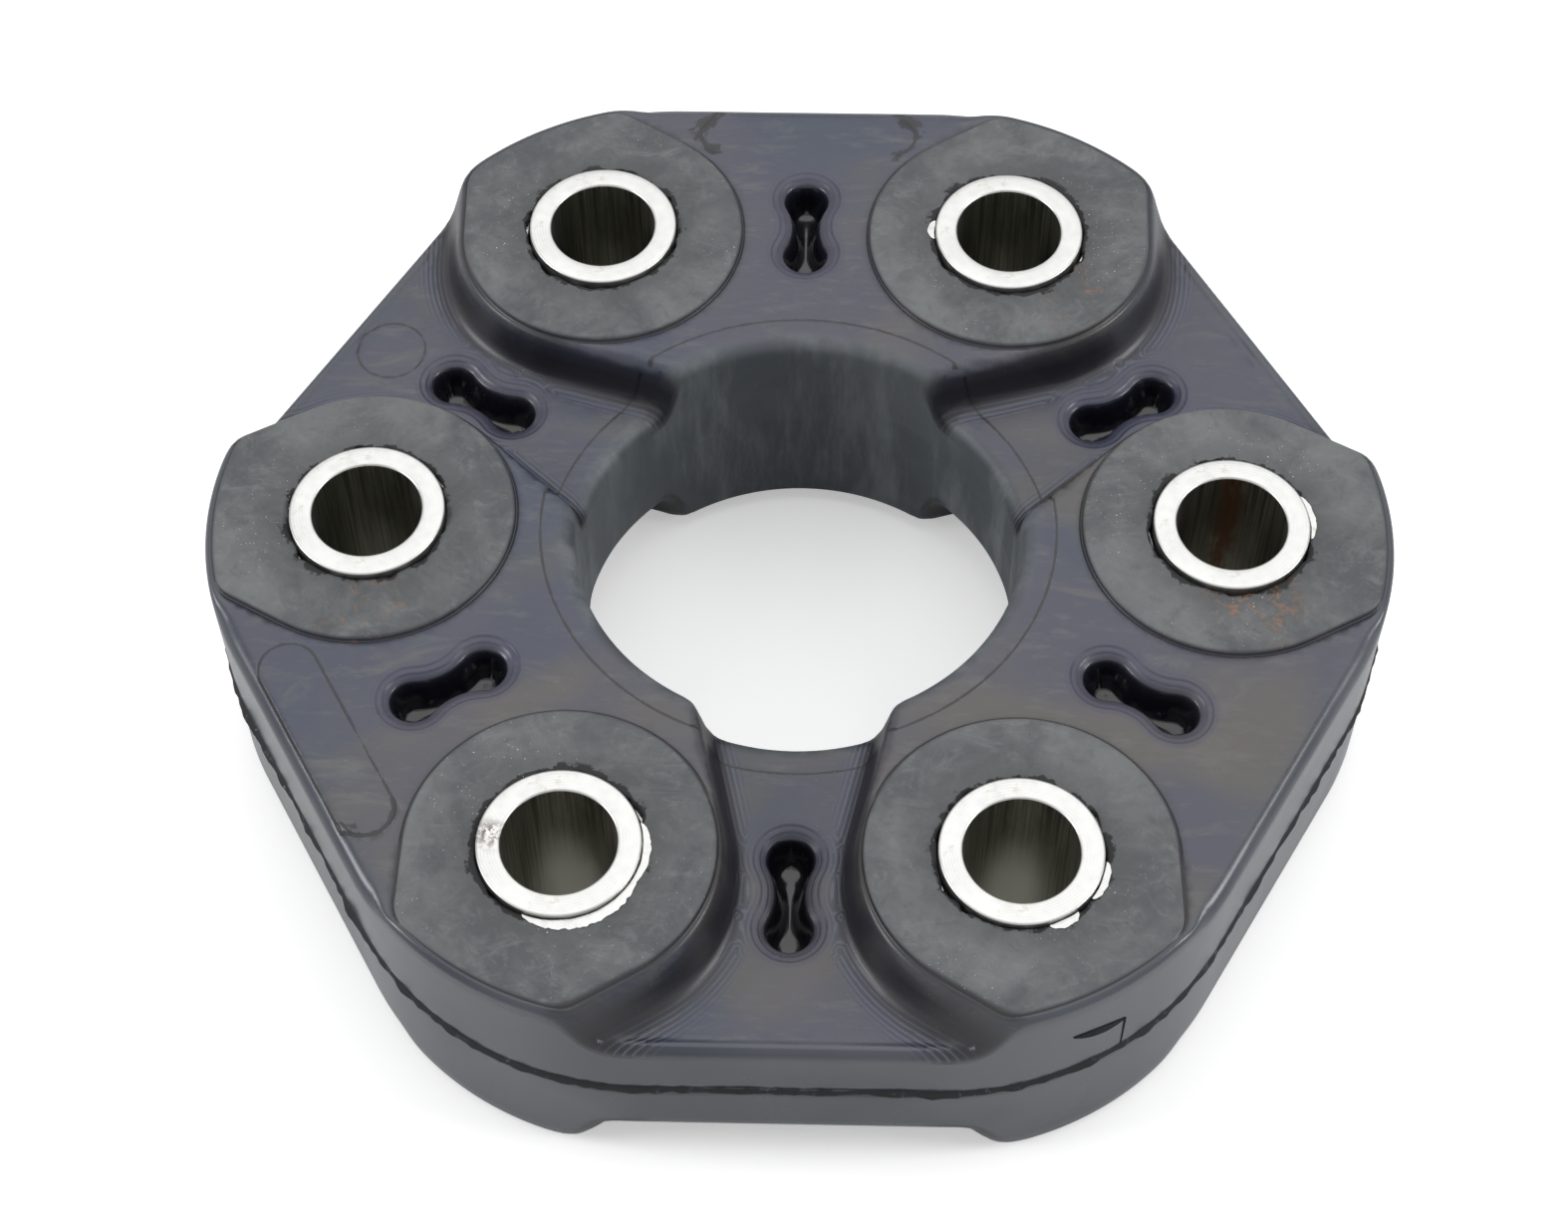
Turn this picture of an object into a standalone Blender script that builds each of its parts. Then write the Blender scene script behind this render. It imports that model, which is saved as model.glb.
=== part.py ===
"""A driveshaft flex disc: steel sleeves and cord loops moulded into one rubber body.

The origin is the disc's centre at mid-height, +Z runs along the shaft and +X points at the first bolt.
Bolts stand every 60 degrees. The gaps between them are deep and shallow by turns, on both faces.
"""

import math

import bmesh
import bpy
from mathutils import Matrix

# Bolt circle
BOLT_COUNT = 6
PITCH_RADIUS = 0.048

# Steel sleeves
SLEEVE_BORE_RADIUS = 0.0061
SLEEVE_WALL = 0.00257
SLEEVE_LENGTH = 0.0326
SLEEVE_STAND = 0.0007        # sleeve end above the pad face
SLEEVE_CHAMFER = 0.0002

# Rubber body in plan
END_WALL = 0.018             # from the pitch circle out to the middle of a rounded corner
SIDE_WALL = 0.02033          # from the line between two bolts out to the flat side
BORE_RADIUS = 0.025

# Rubber body in height
PAD_RISE = 0.0006            # pad face above the shallow webs
VALLEY_DEPTH = 0.0061        # deep web below the shallow webs, on each face
EDGE_ROUND = 0.0019

# Pads round the sleeves
PAD_RADIUS = 0.0165
PAD_END_HALF_WIDTH = 0.0098
PAD_END_INSET = 0.0002       # the pad's outer end behind the body's corner
PAD_END_CORNER_RADIUS = 0.005
PAD_EDGE_ROUND = 0.0006

# Valleys in the deep gaps
VALLEY_LEDGE = 0.0002        # web left between a pad and the valley beside it
VALLEY_MOUTH_HALF_WIDTH = 0.0108
VALLEY_FOOT_REACH = 0.0026   # plan width of the sloping wall at its narrowest
VALLEY_REACH_OUTWARD = 0.11  # growth of that width for each metre further out
VALLEY_REACH_INWARD = 0.05
VALLEY_EDGE_ROUND = 0.0009

# Blind pockets in the gaps
POCKET_DEPTH = 0.0047
POCKET_HALF_LENGTH = 0.00675
POCKET_OFFSET = 0.0015       # pocket centre outward from the line between two bolts
POCKET_LOBE_RADIUS = 0.0026
POCKET_WAIST_HALF_WIDTH = 0.0015
POCKET_TAPER = 0.00115
POCKET_RIM_WIDTH = 0.0010
POCKET_RIM_DEPTH = 0.0004

# Flange collars on the sleeve ends
COLLAR_WIDTH = 0.0035
COLLAR_THICKNESS = 0.0012
COLLAR_COVER = 0.0008        # rubber from the pad face down to the collar

# Cord loops
LOOP_WIDTH = 0.0050
LOOP_COVER = 0.0025          # rubber over the loop in a deep web
LOOP_SPACING = 0.0013
LOOP_CHAMFER = 0.0008

# Gap between neighbouring pieces
CLEARANCE = 0.0003

# Facets
SLEEVE_SIDES = 28
COLLAR_SIDES = 16
LOOP_END_STEPS = 6
BORE_SIDES = 48
ROUND_STEPS = 2
PASS_THROUGH = 0.001         # how far a cutter runs past the face that it cuts


def around(radius, sides):
    """The corner radius of a polygon whose flats just clear a circle."""
    return radius / math.cos(math.pi / sides)


STEP_ANGLE = 2 * math.pi / BOLT_COUNT
HALF_STEP = STEP_ANGLE / 2
BOLT_ACROSS = PITCH_RADIUS * math.sin(HALF_STEP)
BOLT_OUT = PITCH_RADIUS * math.cos(HALF_STEP)
SLEEVE_RADIUS = SLEEVE_BORE_RADIUS + SLEEVE_WALL
APOTHEM = BOLT_OUT + SIDE_WALL
# Each corner is one arc that touches the two flat sides beside it.
CORNER_CENTRE = (PITCH_RADIUS + END_WALL - APOTHEM) / (1 - math.cos(HALF_STEP))
CORNER_RADIUS = PITCH_RADIUS + END_WALL - CORNER_CENTRE
PAD_TANGENT_ANGLE = 2 * math.atan2(PAD_END_HALF_WIDTH, PAD_RADIUS)
SLEEVE_TOP = SLEEVE_LENGTH / 2
PAD_TOP = SLEEVE_TOP - SLEEVE_STAND
WEB_TOP = PAD_TOP - PAD_RISE
DEEP_TOP = WEB_TOP - VALLEY_DEPTH
COLLAR_TOP = PAD_TOP - COLLAR_COVER
COLLAR_UNDER = COLLAR_TOP - COLLAR_THICKNESS
COLLAR_BORE_RADIUS = around(SLEEVE_RADIUS + CLEARANCE, COLLAR_SIDES)
COLLAR_RADIUS = COLLAR_BORE_RADIUS + COLLAR_WIDTH
MID_LOOP_TOP = DEEP_TOP - LOOP_COVER
UPPER_LOOP_UNDER = MID_LOOP_TOP + LOOP_SPACING
UPPER_LOOP_TOP = COLLAR_UNDER - CLEARANCE

BOLT_ANGLES = [i * STEP_ANGLE for i in range(BOLT_COUNT)]
DEEP_GAPS = [HALF_STEP + i * STEP_ANGLE for i in range(0, BOLT_COUNT, 2)]
SHALLOW_GAPS = [HALF_STEP + i * STEP_ANGLE for i in range(1, BOLT_COUNT, 2)]


def clear_scene():
    for obj in list(bpy.data.objects):
        bpy.data.objects.remove(obj, do_unlink=True)


def make_collection(name):
    collection = bpy.data.collections.new(name)
    bpy.context.scene.collection.children.link(collection)
    return collection


def make_material(name, colour, roughness, metallic):
    material = bpy.data.materials.new(name)
    material.use_nodes = True
    shader = material.node_tree.nodes["Principled BSDF"]
    shader.inputs["Base Color"].default_value = (*colour, 1.0)
    shader.inputs["Roughness"].default_value = roughness
    shader.inputs["Metallic"].default_value = metallic
    material.diffuse_color = (*colour, 1.0)
    return material


def add_object(name, mesh, collection, material=None):
    if material is not None and not mesh.materials:
        mesh.materials.append(material)
    obj = bpy.data.objects.new(name, mesh)
    collection.objects.link(obj)
    return obj


def arc_points(centre, radius, start, end, steps):
    """Points on an arc, both ends included."""
    angles = [start + (end - start) * i / steps for i in range(steps + 1)]
    return [(centre[0] + radius * math.cos(a), centre[1] + radius * math.sin(a)) for a in angles]


def turned(points, angle):
    """Plan points turned about the origin."""
    c, s = math.cos(angle), math.sin(angle)
    return [(c * x - s * y, s * x + c * y) for x, y in points]


def shade_round(mesh):
    """Smooth shading, with the edges of flat faces kept sharp."""
    mesh.shade_smooth()
    mesh.set_sharp_from_angle(angle=math.radians(35))


def plate_mesh(name, outlines, half_height):
    """A flat plate from closed outlines, the inner ones being holes."""
    curve = bpy.data.curves.new(name + "_outline", "CURVE")
    curve.dimensions = "2D"
    curve.fill_mode = "BOTH"
    curve.extrude = half_height
    for outline in outlines:
        spline = curve.splines.new("POLY")
        spline.points.add(len(outline) - 1)
        for point, (x, y) in zip(spline.points, outline):
            point.co = (x, y, 0.0, 1.0)
        spline.use_cyclic_u = True
    holder = bpy.data.objects.new(name + "_outline", curve)
    bpy.context.scene.collection.objects.link(holder)
    graph = bpy.context.evaluated_depsgraph_get()
    mesh = bpy.data.meshes.new_from_object(holder.evaluated_get(graph))
    mesh.name = name
    bpy.data.objects.remove(holder, do_unlink=True)
    bm = bmesh.new()
    bm.from_mesh(mesh)
    bmesh.ops.remove_doubles(bm, verts=bm.verts, dist=1e-6)
    bmesh.ops.dissolve_limit(bm, angle_limit=math.radians(0.5), verts=[], edges=bm.edges)
    bmesh.ops.recalc_face_normals(bm, faces=bm.faces)
    bm.to_mesh(mesh)
    bm.free()
    shade_round(mesh)
    return mesh


def turned_object(name, profile, sides, collection, material=None, closed=True):
    """A profile at +X, running down its outer side, turned once about Z."""
    mesh = bpy.data.meshes.new(name)
    bm = bmesh.new()
    verts = [bm.verts.new((r, 0.0, z)) for r, z in profile]
    for start, end in zip(verts, verts[1:] + verts[:1] if closed else verts[1:]):
        bm.edges.new((start, end))
    bm.to_mesh(mesh)
    bm.free()
    obj = add_object(name, mesh, collection, material)
    screw = obj.modifiers.new("turn", "SCREW")
    screw.axis = "Z"
    screw.steps = sides
    screw.render_steps = sides
    screw.use_merge_vertices = True
    screw.merge_threshold = 0.00001
    return obj


def applied_mesh(obj, name):
    """The mesh of an object with its modifiers applied. The object goes."""
    graph = bpy.context.evaluated_depsgraph_get()
    mesh = bpy.data.meshes.new_from_object(obj.evaluated_get(graph))
    mesh.name = name
    bpy.data.objects.remove(obj, do_unlink=True)
    return mesh


def loft_mesh(name, rings):
    """A closed solid through rings of 3-D points, all with the same number of points."""
    mesh = bpy.data.meshes.new(name)
    bm = bmesh.new()
    loops = [[bm.verts.new(point) for point in ring] for ring in rings]
    for lower, upper in zip(loops, loops[1:]):
        for i in range(len(lower)):
            j = (i + 1) % len(lower)
            bm.faces.new((lower[i], lower[j], upper[j], upper[i]))
    bm.faces.new(loops[0])
    bm.faces.new(loops[-1])
    bmesh.ops.recalc_face_normals(bm, faces=bm.faces)
    bm.to_mesh(mesh)
    bm.free()
    shade_round(mesh)
    return mesh


def copies_mesh(name, mesh, placements):
    """One mesh that holds a copy of another at each placement matrix."""
    result = bpy.data.meshes.new(name)
    bm = bmesh.new()
    for placement in placements:
        before = set(bm.verts)
        bm.from_mesh(mesh)
        fresh = [v for v in bm.verts if v not in before]
        bmesh.ops.transform(bm, matrix=placement, verts=fresh)
        if placement.determinant() < 0:
            faces = {f for v in fresh for f in v.link_faces}
            bmesh.ops.reverse_faces(bm, faces=list(faces))
    bm.to_mesh(result)
    bm.free()
    return result


def both_faces(angles):
    """Placements at each angle about Z, upright and mirrored to the other face."""
    mirror = Matrix.Diagonal((1.0, 1.0, -1.0, 1.0))
    turns = [Matrix.Rotation(angle, 4, "Z") for angle in angles]
    return turns + [turn @ mirror for turn in turns]


def add_cutter(name, mesh, collection):
    cutter = add_object(name, mesh, collection)
    cutter.hide_render = True
    cutter.display_type = "WIRE"
    return cutter


def add_boolean(obj, operation, other):
    modifier = obj.modifiers.new(other.name, "BOOLEAN")
    modifier.operation = operation
    modifier.solver = "EXACT"
    modifier.object = other


def body_outline():
    """Flat sides facing the gaps, joined by an arc at each bolt."""
    corner = arc_points((CORNER_CENTRE, 0), CORNER_RADIUS, -HALF_STEP, HALF_STEP, 9)
    return [point for angle in BOLT_ANGLES for point in turned(corner, angle)]


def pad_outline():
    """A circle about the bolt on +X, with tangents that round into an arc along the body's corner."""
    end_radius = CORNER_RADIUS - PAD_END_INSET
    reach = PAD_RADIUS - PAD_END_CORNER_RADIUS
    normal = (math.cos(PAD_TANGENT_ANGLE), math.sin(PAD_TANGENT_ANGLE))
    start = (PITCH_RADIUS + reach * normal[0] - CORNER_CENTRE, reach * normal[1])
    # How far along the tangent the rounding's centre lies, so that it touches the end arc too
    along = start[0] * normal[1] - start[1] * normal[0]
    gap = (end_radius - PAD_END_CORNER_RADIUS) ** 2 - start[0] ** 2 - start[1] ** 2
    shift = math.sqrt(along ** 2 + gap) - along
    centre = (start[0] + shift * normal[1], start[1] - shift * normal[0])
    end_angle = math.atan2(centre[1], centre[0])
    centre = (centre[0] + CORNER_CENTRE, centre[1])
    end = arc_points((CORNER_CENTRE, 0), end_radius, -end_angle, end_angle, 4)
    rounding = arc_points(centre, PAD_END_CORNER_RADIUS, end_angle, PAD_TANGENT_ANGLE, 2)[1:]
    back = arc_points((PITCH_RADIUS, 0), PAD_RADIUS, PAD_TANGENT_ANGLE, 2 * math.pi - PAD_TANGENT_ANGLE, 16)
    return end + rounding + back + [(x, -y) for x, y in reversed(rounding)]


def pad_mesh():
    """One pad as a bevelled prism through the whole body."""
    mesh = plate_mesh("pad", [pad_outline()], PAD_TOP)
    holder = add_object("pad_holder", mesh, bpy.context.scene.collection)
    bevel = holder.modifiers.new("edge_round", "BEVEL")
    bevel.limit_method = "ANGLE"
    bevel.angle_limit = math.radians(60)
    bevel.width = PAD_EDGE_ROUND
    bevel.segments = 1
    return applied_mesh(holder, "pad")


def boss_edge(out, offset):
    """Half width of a deep gap at a distance out from the axis, the boss grown by an offset.

    The boss is the pad circle with its outer tangent, and the tangent from the circle to the
    corner where the valley opens into the bore.
    """
    radius = PAD_RADIUS + VALLEY_LEDGE
    mouth_out = math.sqrt(BORE_RADIUS ** 2 - VALLEY_MOUTH_HALF_WIDTH ** 2) + EDGE_ROUND
    to_bolt = (BOLT_ACROSS - VALLEY_MOUTH_HALF_WIDTH, BOLT_OUT - mouth_out)
    along = math.atan2(to_bolt[1], to_bolt[0]) + math.asin(radius / math.hypot(*to_bolt))
    inner_normal = (-math.sin(along), math.cos(along))
    outer_angle = HALF_STEP - PAD_TANGENT_ANGLE
    outer_normal = (math.sin(outer_angle), math.cos(outer_angle))
    reach = radius + offset
    rise = out - BOLT_OUT
    for normal, beyond in ((inner_normal, rise < reach * inner_normal[1]),
                           (outer_normal, rise > reach * outer_normal[1])):
        if beyond:
            return BOLT_ACROSS + (reach - rise * normal[1]) / normal[0]
    return BOLT_ACROSS - math.sqrt(reach ** 2 - rise ** 2)


def bore_mouth_drop(radius):
    """How far a deep web's surface has rounded down at a distance from the axis."""
    share = (BORE_RADIUS + EDGE_ROUND - radius) / EDGE_ROUND
    if share <= 0.0:
        return 0.0
    if share < 1.0:
        return EDGE_ROUND * (1 - math.sqrt(1 - share ** 2))
    return EDGE_ROUND * share


def valley_cutter_mesh():
    """The space of one deep valley on the upper face, for the gap on +Y, lofted outward."""
    above = PAD_TOP + PASS_THROUGH
    # Shares of the wall's plan width and of its depth, from the upper edge to the foot.
    wall = ((0.0, 0.12), (0.38, 0.68), (0.62, 0.91), (1.0, 1.0), (2.0, 1.0))
    mouth_wall = BOLT_OUT - BORE_RADIUS - EDGE_ROUND
    mouth = [BORE_RADIUS * 0.86] + [BORE_RADIUS + EDGE_ROUND * share for share in (-0.9, -0.2, 0.45, 1.0)]
    inner = [BOLT_OUT - mouth_wall * share for share in (0.74, 0.34)]
    outer = [BOLT_OUT + SIDE_WALL * share for share in (0.0, 0.24, 0.47, 0.65, 0.8)]
    rim = [APOTHEM - VALLEY_EDGE_ROUND, APOTHEM + VALLEY_EDGE_ROUND, APOTHEM + SIDE_WALL / 4]
    rings = []
    for out in mouth + inner + outer + rim:
        growth = VALLEY_REACH_OUTWARD if out > BOLT_OUT else VALLEY_REACH_INWARD
        foot = VALLEY_FOOT_REACH + growth * abs(out - BOLT_OUT)
        rim_drop = 2 * VALLEY_EDGE_ROUND if out > APOTHEM else 0.0
        half = [(boss_edge(out, -VALLEY_EDGE_ROUND), above), (boss_edge(out, -VALLEY_EDGE_ROUND), WEB_TOP)]
        for plan, down in wall:
            across = boss_edge(out, foot * plan) if plan <= 1.0 else boss_edge(out, foot) / 2
            drop = rim_drop + bore_mouth_drop(math.hypot(across, out))
            half.append((across, WEB_TOP - down * (VALLEY_DEPTH + drop)))
        rings.append([(x, out, z) for x, z in half] + [(-x, out, z) for x, z in reversed(half)])
    return loft_mesh("valley", rings)


def dogbone(grow):
    """A pocket outline about its own centre, long along Y, grown outward by an amount."""
    lobe, waist = POCKET_LOBE_RADIUS, POCKET_WAIST_HALF_WIDTH
    lobe_out = POCKET_HALF_LENGTH - lobe
    # The waist is an arc that touches both lobes: its radius follows from the two half widths.
    waist_radius = (lobe_out ** 2 + waist ** 2 - lobe ** 2) / (2 * (lobe - waist))
    touch = math.atan2(lobe_out, waist_radius + waist)
    cap = arc_points((0, lobe_out), lobe + grow, -touch, math.pi + touch, 6)
    side = arc_points((-waist_radius - waist, 0), waist_radius - grow, touch, -touch, 3)[1:-1]
    half = cap + side
    return half + turned(half, math.pi)


def pocket_cutter_mesh(web_top):
    """A blind pocket in the upper face, for the gap on +Y, tapering to its floor."""
    levels = ((web_top + PASS_THROUGH, POCKET_RIM_WIDTH), (web_top, POCKET_RIM_WIDTH),
              (web_top - POCKET_RIM_DEPTH, 0.0), (web_top - POCKET_DEPTH, -POCKET_TAPER))
    centre_out = BOLT_OUT + POCKET_OFFSET
    rings = [[(x, y + centre_out, z) for x, y in dogbone(grow)] for z, grow in levels]
    return loft_mesh("pocket", rings)


def add_turned_cutter(name, upper, sides, collection, location=(0.0, 0.0, 0.0)):
    """A turned cutter from its upper half, given outward and down from the axis."""
    profile = upper + [(r, -z) for r, z in reversed(upper)]
    cutter = turned_object(name, profile, sides, collection, closed=False)
    cutter.location = location
    cutter.hide_render = True
    cutter.display_type = "WIRE"
    return cutter


def bore_profile():
    """The upper half of the centre bore, with a rounded mouth."""
    far = PAD_TOP + PASS_THROUGH
    mouth = [(BORE_RADIUS + EDGE_ROUND * (1 - math.cos(a)), WEB_TOP - EDGE_ROUND * (1 - math.sin(a)))
             for a in (math.pi / 2, math.pi / 4, 0.0)]
    return [(0.0, far), (mouth[0][0], far)] + mouth


def hole_profile():
    """The upper half of a sleeve's hole, with the room for its flange collar."""
    far = PAD_TOP + PASS_THROUGH
    hole = around(SLEEVE_RADIUS + CLEARANCE, SLEEVE_SIDES)
    room = around(COLLAR_RADIUS + CLEARANCE, SLEEVE_SIDES)
    room_top, room_under = COLLAR_TOP + CLEARANCE, COLLAR_UNDER - CLEARANCE
    return [(0.0, far), (hole, far), (hole, room_top), (room, room_top), (room, room_under),
            (hole, room_under)]


def loop_outline(radius):
    """A stadium round two neighbouring bolts that stand on the X axis."""
    right = arc_points((BOLT_ACROSS, 0), radius, -math.pi / 2, math.pi / 2, LOOP_END_STEPS)
    return right + turned(right, math.pi)


def loop_mesh(name, under, top, grow):
    """A cord loop, or its room in the rubber when grown, about the middle of its gap."""
    inner = around(SLEEVE_RADIUS + CLEARANCE, 2 * LOOP_END_STEPS)
    outer = inner + LOOP_WIDTH
    mesh = plate_mesh(name, [loop_outline(outer + grow), loop_outline(inner - grow)],
                      (top - under) / 2 + grow)
    mesh.transform(Matrix.Translation((0, 0, (under + top) / 2)))
    return mesh


def gap_placement(angle):
    """From a loop's own frame, bolts along X, to the gap at an angle about Z."""
    return Matrix.Rotation(angle - math.pi / 2, 4, "Z") @ Matrix.Translation((0, BOLT_OUT, 0))


LOOP_SETS = (
    ("cord_loop_mid", DEEP_GAPS, -MID_LOOP_TOP, MID_LOOP_TOP),
    ("cord_loop_upper", SHALLOW_GAPS, UPPER_LOOP_UNDER, UPPER_LOOP_TOP),
    ("cord_loop_lower", SHALLOW_GAPS, -UPPER_LOOP_TOP, -UPPER_LOOP_UNDER),
)


def loop_rooms_mesh():
    """The room that the nine loops take in the rubber. Each opens into its two sleeve holes."""
    rooms = bpy.data.meshes.new("loop_rooms")
    bm = bmesh.new()
    for name, gaps, under, top in LOOP_SETS:
        room = loop_mesh(name + "_room", under, top, CLEARANCE)
        spread = copies_mesh(name + "_rooms", room, [gap_placement(angle) for angle in gaps])
        bm.from_mesh(spread)
    bm.to_mesh(rooms)
    bm.free()
    return rooms


def build_rubber(parts, cutters, material):
    slab = plate_mesh("slab", [body_outline()], WEB_TOP)
    body = add_object("rubber_body", slab, parts, material)
    bevel = body.modifiers.new("edge_round", "BEVEL")
    bevel.limit_method = "ANGLE"
    bevel.angle_limit = math.radians(60)
    bevel.width = EDGE_ROUND
    bevel.segments = ROUND_STEPS

    turns = [Matrix.Rotation(angle, 4, "Z") for angle in BOLT_ANGLES]
    pads = add_cutter("pads", copies_mesh("pads", pad_mesh(), turns), cutters)
    add_boolean(body, "UNION", pads)

    to_y = math.pi / 2
    valleys = copies_mesh("valleys", valley_cutter_mesh(), both_faces([a - to_y for a in DEEP_GAPS]))
    add_boolean(body, "DIFFERENCE", add_cutter("valleys", valleys, cutters))

    bore = add_turned_cutter("bore", bore_profile(), BORE_SIDES, cutters)
    add_boolean(body, "DIFFERENCE", bore)

    for name, web_top, gaps in (("deep_pockets", DEEP_TOP, DEEP_GAPS),
                                ("shallow_pockets", WEB_TOP, SHALLOW_GAPS)):
        pockets = copies_mesh(name, pocket_cutter_mesh(web_top), both_faces([a - to_y for a in gaps]))
        add_boolean(body, "DIFFERENCE", add_cutter(name, pockets, cutters))

    for number, angle in enumerate(BOLT_ANGLES, start=1):
        place = (PITCH_RADIUS * math.cos(angle), PITCH_RADIUS * math.sin(angle), 0.0)
        hole = add_turned_cutter(f"sleeve_hole_{number}", hole_profile(), SLEEVE_SIDES, cutters, place)
        # Half a facet round, so that no corner of the hole lies on the pad's middle line.
        hole.rotation_euler.z = angle + math.pi / SLEEVE_SIDES
        add_boolean(body, "DIFFERENCE", hole)

    add_boolean(body, "DIFFERENCE", add_cutter("loop_rooms", loop_rooms_mesh(), cutters))


def build_sleeves(parts, material):
    chamfer_radius = SLEEVE_BORE_RADIUS + SLEEVE_CHAMFER
    chamfer_z = SLEEVE_TOP - SLEEVE_CHAMFER
    profile = [(SLEEVE_RADIUS, SLEEVE_TOP), (SLEEVE_RADIUS, -SLEEVE_TOP),
               (chamfer_radius, -SLEEVE_TOP), (SLEEVE_BORE_RADIUS, -chamfer_z),
               (SLEEVE_BORE_RADIUS, chamfer_z), (chamfer_radius, SLEEVE_TOP)]
    for number, angle in enumerate(BOLT_ANGLES, start=1):
        sleeve = turned_object(f"sleeve_{number}", profile, SLEEVE_SIDES, parts, material)
        sleeve.location = (PITCH_RADIUS * math.cos(angle), PITCH_RADIUS * math.sin(angle), 0.0)
        sleeve.rotation_euler.z = angle + math.pi / SLEEVE_SIDES


def build_collars(parts, material):
    for side, under, top in (("top", COLLAR_UNDER, COLLAR_TOP), ("bottom", -COLLAR_TOP, -COLLAR_UNDER)):
        profile = [(COLLAR_RADIUS, top), (COLLAR_RADIUS, under),
                   (COLLAR_BORE_RADIUS, under), (COLLAR_BORE_RADIUS, top)]
        for number, angle in enumerate(BOLT_ANGLES, start=1):
            collar = turned_object(f"collar_{side}_{number}", profile, COLLAR_SIDES, parts, material)
            collar.location = (PITCH_RADIUS * math.cos(angle), PITCH_RADIUS * math.sin(angle), 0.0)
            collar.rotation_euler.z = angle


def build_loops(parts, material):
    for name, gaps, under, top in LOOP_SETS:
        mesh = loop_mesh(name, under, top, 0.0)
        for number, angle in enumerate(gaps, start=1):
            loop = add_object(f"{name}_{number}", mesh, parts, material)
            loop.matrix_world = gap_placement(angle)
            bevel = loop.modifiers.new("corner", "BEVEL")
            bevel.limit_method = "ANGLE"
            bevel.angle_limit = math.radians(60)
            bevel.width = LOOP_CHAMFER
            bevel.segments = 1


def main():
    clear_scene()
    parts = make_collection("flex_disc")
    cutters = make_collection("cutters")
    rubber = make_material("rubber", (0.045, 0.047, 0.055), 0.55, 0.0)
    steel = make_material("steel", (0.78, 0.78, 0.76), 0.25, 1.0)
    collar_steel = make_material("collar_steel", (0.70, 0.70, 0.68), 0.35, 1.0)
    cord = make_material("cord", (0.55, 0.48, 0.34), 0.85, 0.0)
    build_rubber(parts, cutters, rubber)
    build_sleeves(parts, steel)
    build_collars(parts, collar_steel)
    build_loops(parts, cord)


main()
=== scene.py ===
"""The looks of the driveshaft flex disc: a shaped rubber body, turned steel sleeves and worn finishes.

Plan sizes are in millimetres until a mesh is made. A wedge of 60 degrees is planned once, from the middle
of a deep gap (+Y) to the middle of a shallow gap, and copied round the disc and to the other face.
"""

import math

import bmesh
import bpy
import numpy as np
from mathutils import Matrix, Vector
from mathutils.geometry import delaunay_2d_cdt


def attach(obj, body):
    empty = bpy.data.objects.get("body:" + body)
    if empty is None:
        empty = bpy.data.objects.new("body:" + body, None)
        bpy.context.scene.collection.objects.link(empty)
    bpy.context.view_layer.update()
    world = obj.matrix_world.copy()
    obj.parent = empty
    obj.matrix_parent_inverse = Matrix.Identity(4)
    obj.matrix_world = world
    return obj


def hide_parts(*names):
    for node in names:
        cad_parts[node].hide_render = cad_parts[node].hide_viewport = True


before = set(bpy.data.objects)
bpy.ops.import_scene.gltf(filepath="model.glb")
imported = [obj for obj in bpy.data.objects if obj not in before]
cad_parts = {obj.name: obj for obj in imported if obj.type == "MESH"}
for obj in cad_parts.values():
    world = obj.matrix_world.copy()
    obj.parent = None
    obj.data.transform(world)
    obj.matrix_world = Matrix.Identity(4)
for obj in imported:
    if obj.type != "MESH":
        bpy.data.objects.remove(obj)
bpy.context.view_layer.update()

MM = 0.001

# Bolt circle and sleeves
PITCH_RADIUS = 48.0
STEP_ANGLE = math.radians(60)
SLEEVE_BORE_RADIUS = 6.1
SLEEVE_RADIUS = 8.67
SLEEVE_TOP = 16.3

# Rubber in plan
APOTHEM = 61.9
CORNER_REACH = 66.0
BORE_RADIUS = 25.0
HOLE_RADIUS = 8.74
PAD_RADIUS = 16.5
PAD_END_HALF_WIDTH = 9.8
PAD_END_INSET = 0.85
PAD_CORNER_RADIUS = 3.6
VALLEY_LEDGE = 0.25
VALLEY_CORNER_RADIUS = 6.5
VALLEY_MOUTH_HALF_WIDTH = 10.8
MOULD_LINE_RADIUS = 28.7

# Rubber in height
PAD_TOP = 15.6
WEB_TOP = 15.0
VALLEY_DEPTH = 6.1
EDGE_ROUND = 1.9
BORE_ROUND = 2.0
VALLEY_EDGE_ROUND = 0.9
PAD_END_ROUND = 0.8

# Pockets
POCKET_DEPTH = 4.7
POCKET_OUT = 43.07
POCKET_HALF_LENGTH = 6.75
POCKET_LOBE_RADIUS = 2.6
POCKET_WAIST_HALF_WIDTH = 1.6

# How strongly painted shade is laid in the torn gap round each sleeve
LIP_SHADE_LEVELS = (0.85, 0.95, 0.72, 0.70, 1.0, 0.85)

# How far the wedge's slanting side is bowed while its triangles are made, and how near its rows of points
# lie, as a share of the spacing in a row
AXIS_BOW = 0.02
ROW_SHARE = 0.866

# Traces of the mould and its inserts, left bare
LINE_HALF_WIDTH = 0.18
LINE_SIDE = 0.28
STAMP_OUT = 56.2
STAMP_RADIUS = 4.0
INSERT_OUT = 57.5
INSERT_HALF_LENGTH = 13.1
INSERT_HALF_WIDTH = 3.2

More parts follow.
